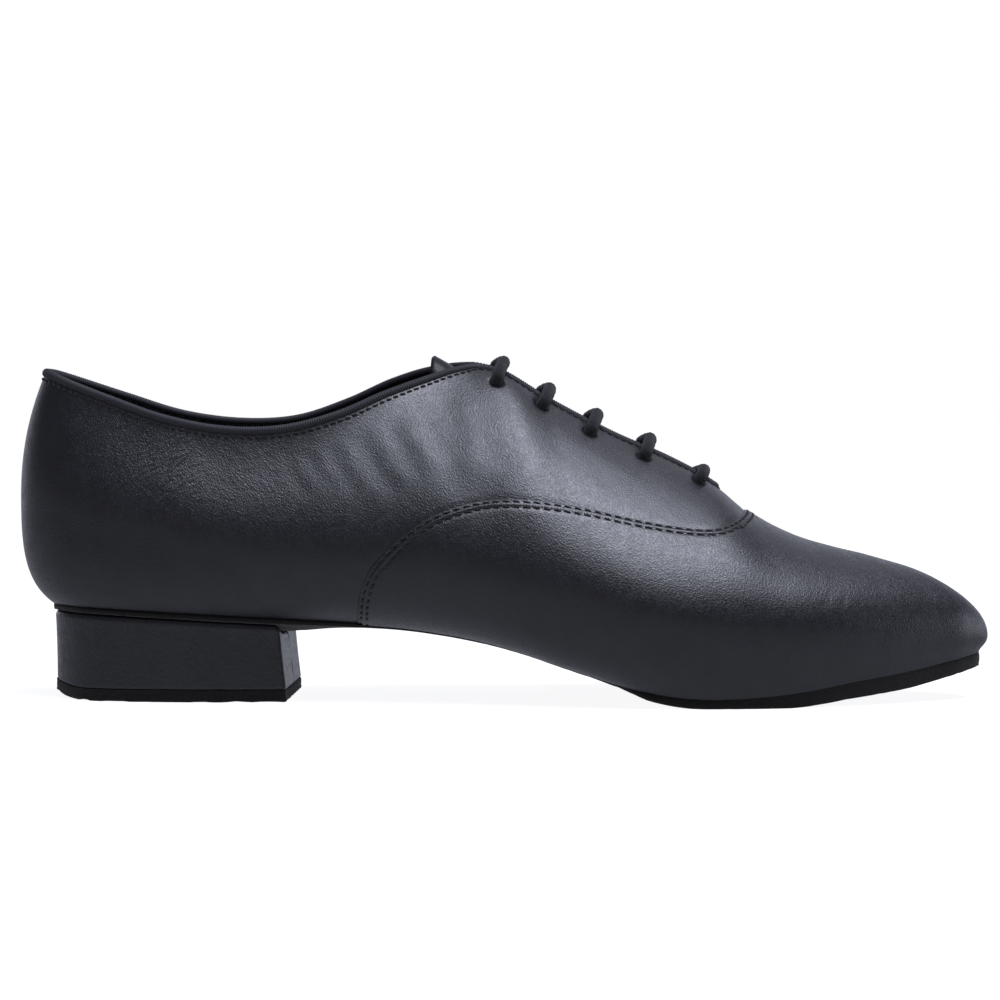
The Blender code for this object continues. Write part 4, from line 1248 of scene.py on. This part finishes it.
def bar(row, start):
    """Places of the lace over the facings, from one side's eyelet to the other's."""
    x = EYELETS[row][OUTER][0][0] + LACE_LEAN
    position = position_at(x, TOP_X, CORNER_RIB - 1, THROAT_RIB + 1)
    ridge = Ribs([position]).ridge[0] * (1, 0, 1)
    lift = unit(rib_frames(position, [0.0])[1][0] + rib_frames(COUNT - position, [0.0])[1][0])
    arch = LACE_ARCH - (1.5 * MM if row == len(EYELETS) - 1 else 0)
    runs = []
    for side in (start, 1 - start):
        c, n = EYELETS[row][side]
        across, shift = (-1, 0.4 * MM) if side == OUTER else (1, -1.5 * MM)
        over = ridge + lift * (arch - LACE_SINK * side) + np.array((shift, across * BINDING_WIDTH, 0))
        run = [(c + n * 0.35 * MM, n), (c + n * 1.85 * MM + unit(over - c) * 0.75 * MM, n)]
        runs.append(run + [(c + (over - c) * 0.45 + n * 1.85 * MM, n), (over, lift)])
    return [(point, normal, HALF_LACE) for point, normal in runs[0] + runs[1][::-1]]


def lace_path():
    """The whole lace: its hidden end, then bars and hidden runs by turns from the throat up to the other end."""
    c, n = EYELETS[0][OUTER]
    down = unit(c - EYELETS[0][INNER][0]) * 3.6 * MM
    end = down + unit(EYELETS[1][OUTER][0] - c) * 2 * MM
    path = [(c - n * UNDER + end, n, FLAT_LACE) for c, n in (EYELETS[row][OUTER] for row in range(4))]
    path += below(4, OUTER, 3)[::-1]
    side = OUTER
    for row in (4, 3, 2, 1):
        path += bar(row, side)
        side = 1 - side
        path += below(row, side, row - 1) + below(row - 1, side, row)[::-1]
    return path + bar(0, side) + below(0, 1 - side, 1)


def steady_sides(along, ups):
    """Directions across a path that turn slowly, led by its up directions where they are clear."""
    steady = np.zeros_like(along)
    side_way = unit(np.cross(along[0], ups[0]))
    for n in range(len(along)):
        side_way = unit(side_way - along[n] * (side_way @ along[n]))
        wanted = np.cross(along[n], ups[n])
        if np.linalg.norm(wanted) > 0.3:
            wanted = unit(wanted)
            if wanted @ side_way < 0:
                wanted = -wanted
            side_way = unit(side_way * 0.85 + wanted * 0.15)
            side_way = unit(side_way - along[n] * (side_way @ along[n]))
        steady[n] = side_way
    return steady


def lace():
    """One round braided lace: five bars over the facings, run under them from eyelet to eyelet."""
    even = smooth_path([np.concatenate([point, normal, [thick]]) for point, normal, thick in lace_path()], LACE_STEP)
    line, thick = even[:, :3], even[:, 6]
    along = unit(np.gradient(line, axis=0))
    steady = steady_sides(along, unit(even[:, 3:6]))
    ups = np.cross(steady, along)
    around = 30
    angles = np.arange(around) / around * 2 * math.pi
    turn = np.arange(len(line))[:, None] * LACE_STEP * 2 * math.pi / BRAID_PITCH
    braid = np.sin(STRANDS * (angles[None] + turn)) * np.sin(STRANDS * (angles[None] - turn))
    surface = tube_rings(line, steady, ups, HALF_LACE, HALF_LACE, around).reshape(-1, 3)
    swell = 1 + 0.06 * braid + 0.035 * rough(surface, 0.7 * MM, 9).reshape(braid.shape)
    wide = np.where(thick < HALF_LACE * 0.8, HALF_LACE * 1.05, HALF_LACE)[:, None] * swell
    shape = Shape()
    shape.tube(tube_rings(line, steady, ups, wide, thick[:, None] * swell, around))
    return shape.piece("lace", CORD, "lace", *[f"lace_bar_{n}" for n in range(1, 6)])


# ---------------------------------------------------------------- soles and heel


def sole_table(x, column):
    return float(np.interp(x / LENGTH, [row[0] for row in SOLE], [row[column] for row in SOLE]))


def sole_outset(x):
    return sole_table(x, 2) * (SOLE_LAP + SOLE_TUCK) - SOLE_TUCK


def sole_floor(x, z):
    return max(0.0, z - GAP - sole_table(x, 1) * SOLE_THICKNESS)


def bottom_grid(positions, outset, across):
    """Points of the seat's surface, in rows from the outer to the inner side."""
    shares = 0.5 - 0.5 * np.cos(math.pi * np.arange(across) / (across - 1))
    rows = []
    for p in positions:
        start, end = (seat_point(place, outset) for place in (p, COUNT - p))
        rows.append([(x, y, seat_height(x, y)) for x, y in start + (end - start) * shares[:, None]])
    return np.array(rows)


def outsole():
    ends = np.linspace(0, 1, 14) ** 1.5  # closer rows round the heel and the toe
    positions = np.concatenate([ends[:-1], np.linspace(1, HALF - 1, 150), HALF - ends[-2::-1]])
    tops = bottom_grid(positions, sole_outset, 31)
    bottoms = tops.copy()
    for row in bottoms:
        for p in row:
            p[2] = sole_floor(p[0], p[2])
    rim = np.zeros(tops.shape[:2])
    rim[:, [0, -1]] = 1
    rim[[0, -1]] = 1
    fuzz = rough(bottoms.reshape(-1, 3), 2.2 * MM, 3).reshape(rim.shape)
    bottoms[..., 2] += np.maximum(0, fuzz * 0.12 * MM) * (1 - rim) + rim * 0.35 * MM
    return slab("outsole_suede", tops - UP * 0.16 * MM, bottoms, SUEDE, "suede", "outsole", 0.25 * MM)


def insole():
    rows = bottom_grid(np.linspace(0, HALF, 140), -(WALL + 0.1 * MM), 25)
    return slab("insole_sock", rows + UP * INSOLE_THICKNESS, rows, SOCK, "lining", "insole", 0.1 * MM)


def heel_bevel(x):
    share = np.maximum(0.0, 1 - (x - HEEL_BACK_X) / HEEL_BEVEL_LENGTH)
    return HEEL_BEVEL * share * share


def heel_outline(inset, corner):
    """Plan outline of the heel seat, from the breast's outer corner round the back to the inner one and across."""
    places = np.linspace(BREAST_RIB, 0, 46)[1:]
    outer = [seat_point(p, -inset) for p in places]
    inner = [seat_point(COUNT - p, -inset) for p in places[-2::-1]]
    outline = np.array(outer + inner)
    outline = outline[outline[:, 0] <= BREAST_X - corner]
    y_out, y_in = outline[0, 1], outline[-1, 1]
    turn = np.linspace(0, math.pi / 2, 6)
    centre_x = BREAST_X - corner
    after = np.stack([centre_x + corner * np.sin(turn), y_in - corner + corner * np.cos(turn)], 1)
    front = [(BREAST_X, y) for y in np.linspace(y_in - corner, y_out + corner, 42)[1:-1]]
    before = np.stack([centre_x + corner * np.cos(turn), y_out + corner - corner * np.sin(turn)], 1)
    return np.concatenate([outline, after, front, before])


def heel_foot(points):
    """The outline carried down to the heel's foot, forward along the breast's lean and drawn in."""
    share = (points[:, 0] - HEEL_BACK_X) / (BREAST_X - HEEL_BACK_X)
    half = SEAT[BREAST_RIB - 1][1] * BALL_WIDTH
    x = points[:, 0] + BLOCK_TAPER + (BREAST_LEAN - BLOCK_TAPER) * share
    return np.stack([x, points[:, 1] * (1 - BLOCK_TAPER / half)], 1)


def shrunk(outline, inset):
    along = np.roll(outline, -1, 0) - np.roll(outline, 1, 0)
    outward = unit(np.stack([along[:, 1], -along[:, 0]], 1))
    if (outward * (outline - outline.mean(0))).sum() < 0:
        outward = -outward
    return outline - outward * inset


def loft(name, rings, look, slot, node):
    """A closed solid through rings of equal count, its first and last filled over their middle."""
    rings = np.array(rings)
    levels, count = rings.shape[:2]
    shape = Shape()
    shape.add(rings, tube_faces(levels, count, False))
    k = np.arange(count)
    for ring, turn in ((0, 1), (levels - 1, -1)):
        fan = np.stack([k, np.full(count, shape.count - ring * count), np.roll(k, -1)], 1) + ring * count
        shape.add(rings[ring].mean(0))
        shape.join(fan[:, ::turn])
    return shape.piece(name, look, slot, node, outward=True)


TOP_EDGE = ((0, 3.2), (0, 1.5), (0.12, 0.95), (0.4, 0.55), (0.85, 0.25), (1.4, 0.06), (1.9, 0.0))  # mm down, mm in
FOOT_EDGE = ((0.7, 0.0), (0.35, 0.06), (0.12, 0.2), (0.0, 0.45), (0, 1.0), (0, 2.5))  # mm up, mm in
LIFT_EDGE = (  # share of the lift's height, mm in
    *((1, 2.0), (1, 0.3), (0.93, 0.05), (0.8, 0), (0.6, 0), (0.4, 0), (0.22, 0), (0.1, 0.05), (0.02, 0.25)),
    *((0, 0.6), (0, 2)),
)


def heel_block():
    """The covered block, with its rounded edges and the cover's seam down the breast."""
    outline = heel_outline(BLOCK_INSET, 1.6 * MM)
    foot = heel_foot(outline)
    top_z = np.array([sole_floor(x, seat_height(x, y)) for x, y in outline]) - 0.1 * MM
    low_z = LIFT_THICKNESS + 0.1 * MM + heel_bevel(foot[:, 0])

    def ring(z, inset):
        share = np.clip((top_z - z) / (top_z - low_z), 0, 1)[:, None]
        return np.concatenate([shrunk(outline * (1 - share) + foot * share, inset), z[:, None]], axis=1)

    rings = [ring(top_z - down * MM, inset * MM) for down, inset in TOP_EDGE]
    for share in np.linspace(0.12, 0.94, 16):
        rings.append(ring(top_z * (1 - share) + low_z * share, 0.12 * MM * math.sin(math.pi * share)))
    rings += [ring(low_z + up * MM, inset * MM) for up, inset in FOOT_EDGE]
    block = np.array(rings)
    seam = 0.7 * MM + 1.2 * MM * np.sin((block[..., 2] - 4 * MM) / (16 * MM) * 2.6)
    front = block[..., 0] > BREAST_X - 1.8 * MM
    groove = np.exp(-(((block[..., 1] - seam) / (0.45 * MM)) ** 2))
    block[..., 0] -= np.where(front, groove * 0.75 * MM, 0)
    return loft("heel_cover", block, HEEL_LEATHER, "leather", "heel_block")


def heel_lift():
    outline = heel_foot(heel_outline(LIFT_INSET - 0.15 * MM, 1.0 * MM))
    bevel = heel_bevel(outline[:, 0])
    rings = []
    for share, inset in LIFT_EDGE:
        z = bevel + share * LIFT_THICKNESS
        ring = np.concatenate([shrunk(outline, inset * MM), z[:, None]], axis=1)
        fuzz = rough(ring, 1.0 * MM, 5)[:, None] * 0.32 * MM
        ring[:, 2] += (1 - share) * 0.4 * MM * np.clip(rough(ring, 3.5 * MM, 6), 0, 1)
        if 0.05 < share < 0.95:
            ring[:, :2] += unit(ring[:, :2] - outline.mean(0)) * fuzz
        rings.append(ring)
    return loft("heel_lift_suede", rings, LIFT, "suede", "heel_lift")


# ---------------------------------------------------------------- build

vamp()
quarter(-1, "quarter_outer")
quarter(1, "quarter_inner")
lining()
binding()
vamp_stitches()
collar_stitches()
tongue()
lace()
outsole()
insole()
heel_block()
heel_lift()

# ---------------------------------------------------------------- stage and light

COOL = (0.82, 0.85, 1.0)
NEAR, SIDE, FAR_EDGE = -0.56, 0.9, 1.1  # edges of the lit floor
WIDE_FLOOR = 9.0


def plain(name, colour, glow, tint=(1, 1, 1)):
    look = Look(name, colour, 0.6)
    look.set({"Specular IOR Level": 0.3, "Emission Color": (*tint, 1), "Emission Strength": glow})
    look.made.cycles.emission_sampling = "NONE"
    return look.made


FLOOR = plain("pale_floor", (0.28, 0.28, 0.285), 0.87)
BOUNCE = plain("floor_bounce", (0.0, 0.0, 0.0), 0.46, COOL)
GLOW = plain("far_glow", (0.0, 0.0, 0.0), 0.8, COOL)
BACKDROP = plain("pale_surround", (0.0, 0.0, 0.0), 1.0)


def staged(name, mesh, look, camera, glossy, diffuse):
    """A piece of the stage that only some rays see."""
    mesh.materials.append(look)
    made = bpy.data.objects.new(name, mesh)
    bpy.context.scene.collection.objects.link(made)
    made.visible_camera, made.visible_glossy = camera, glossy
    made.visible_diffuse = made.visible_shadow = diffuse
    return made


def board(name, corners, look, *seen):
    mesh = bpy.data.meshes.new(name)
    mesh.from_pydata(corners, [], [(0, 1, 2, 3)])
    staged(name, mesh, look, *seen)


for name, look, (x0, y0, x1, y1), *seen in (
    ("floor", FLOOR, (-SIDE, NEAR, SIDE, FAR_EDGE), True, False, True),
    ("floor_bounce", BOUNCE, (-SIDE * 2, -SIDE * 2, SIDE * 2, FAR_EDGE), False, True, False),
    ("far_floor_0", BACKDROP, (-WIDE_FLOOR, -WIDE_FLOOR, WIDE_FLOOR, NEAR), True, False, False),
    ("far_floor_1", BACKDROP, (-WIDE_FLOOR, FAR_EDGE, WIDE_FLOOR, WIDE_FLOOR), True, False, False),
    ("far_floor_2", BACKDROP, (-WIDE_FLOOR, NEAR, -SIDE, FAR_EDGE), True, False, False),
    ("far_floor_3", BACKDROP, (SIDE, NEAR, WIDE_FLOOR, FAR_EDGE), True, False, False),
):
    board(name, [(x0, y0, 0), (x1, y0, 0), (x1, y1, 0), (x0, y1, 0)], look, *seen)
board("far_glow", [(-1.5, 1.2, 0), (1.7, 1.2, 0), (1.7, 1.2, 0.72), (-1.5, 1.2, 0.72)], GLOW, False, True, False)


def surround():
    """A pale sphere that only the camera sees, so that every view has the same plain background."""
    shape = bmesh.new()
    bmesh.ops.create_uvsphere(shape, u_segments=48, v_segments=24, radius=WIDE_FLOOR)
    mesh = bpy.data.meshes.new("surround")
    shape.to_mesh(mesh)
    shape.free()
    staged("surround", mesh, BACKDROP, True, False, False).visible_transmission = False


surround()


def area_light(name, place, target, size, power):
    light = bpy.data.lights.new(name, "AREA")
    light.shape = "RECTANGLE"
    light.size, light.size_y = size
    light.energy = power
    light.color = COOL
    made = bpy.data.objects.new(name, light)
    made.location = place
    made.rotation_euler = (Vector(target) - Vector(place)).to_track_quat("-Z", "Y").to_euler()
    bpy.context.scene.collection.objects.link(made)


area_light("key", (0.38, -0.26, 1.3), (0.1, 0, 0.05), (1.15, 0.68), 23.5)
area_light("back", (0.1, 1.2, 1.3), (0.1, 0, 0.05), (1.8, 0.6), 1.3)
area_light("side", (1.4, 0.35, 0.25), (0.15, 0, 0.04), (0.7, 0.5), 2.2)

world = bpy.data.worlds.new("studio")
world.use_nodes = True
background = world.node_tree.nodes["Background"]
background.inputs["Color"].default_value = (0.82, 0.84, 1.0, 1)
background.inputs["Strength"].default_value = 0.14
bpy.context.scene.world = world
bpy.context.scene.view_settings.view_transform = "Standard"
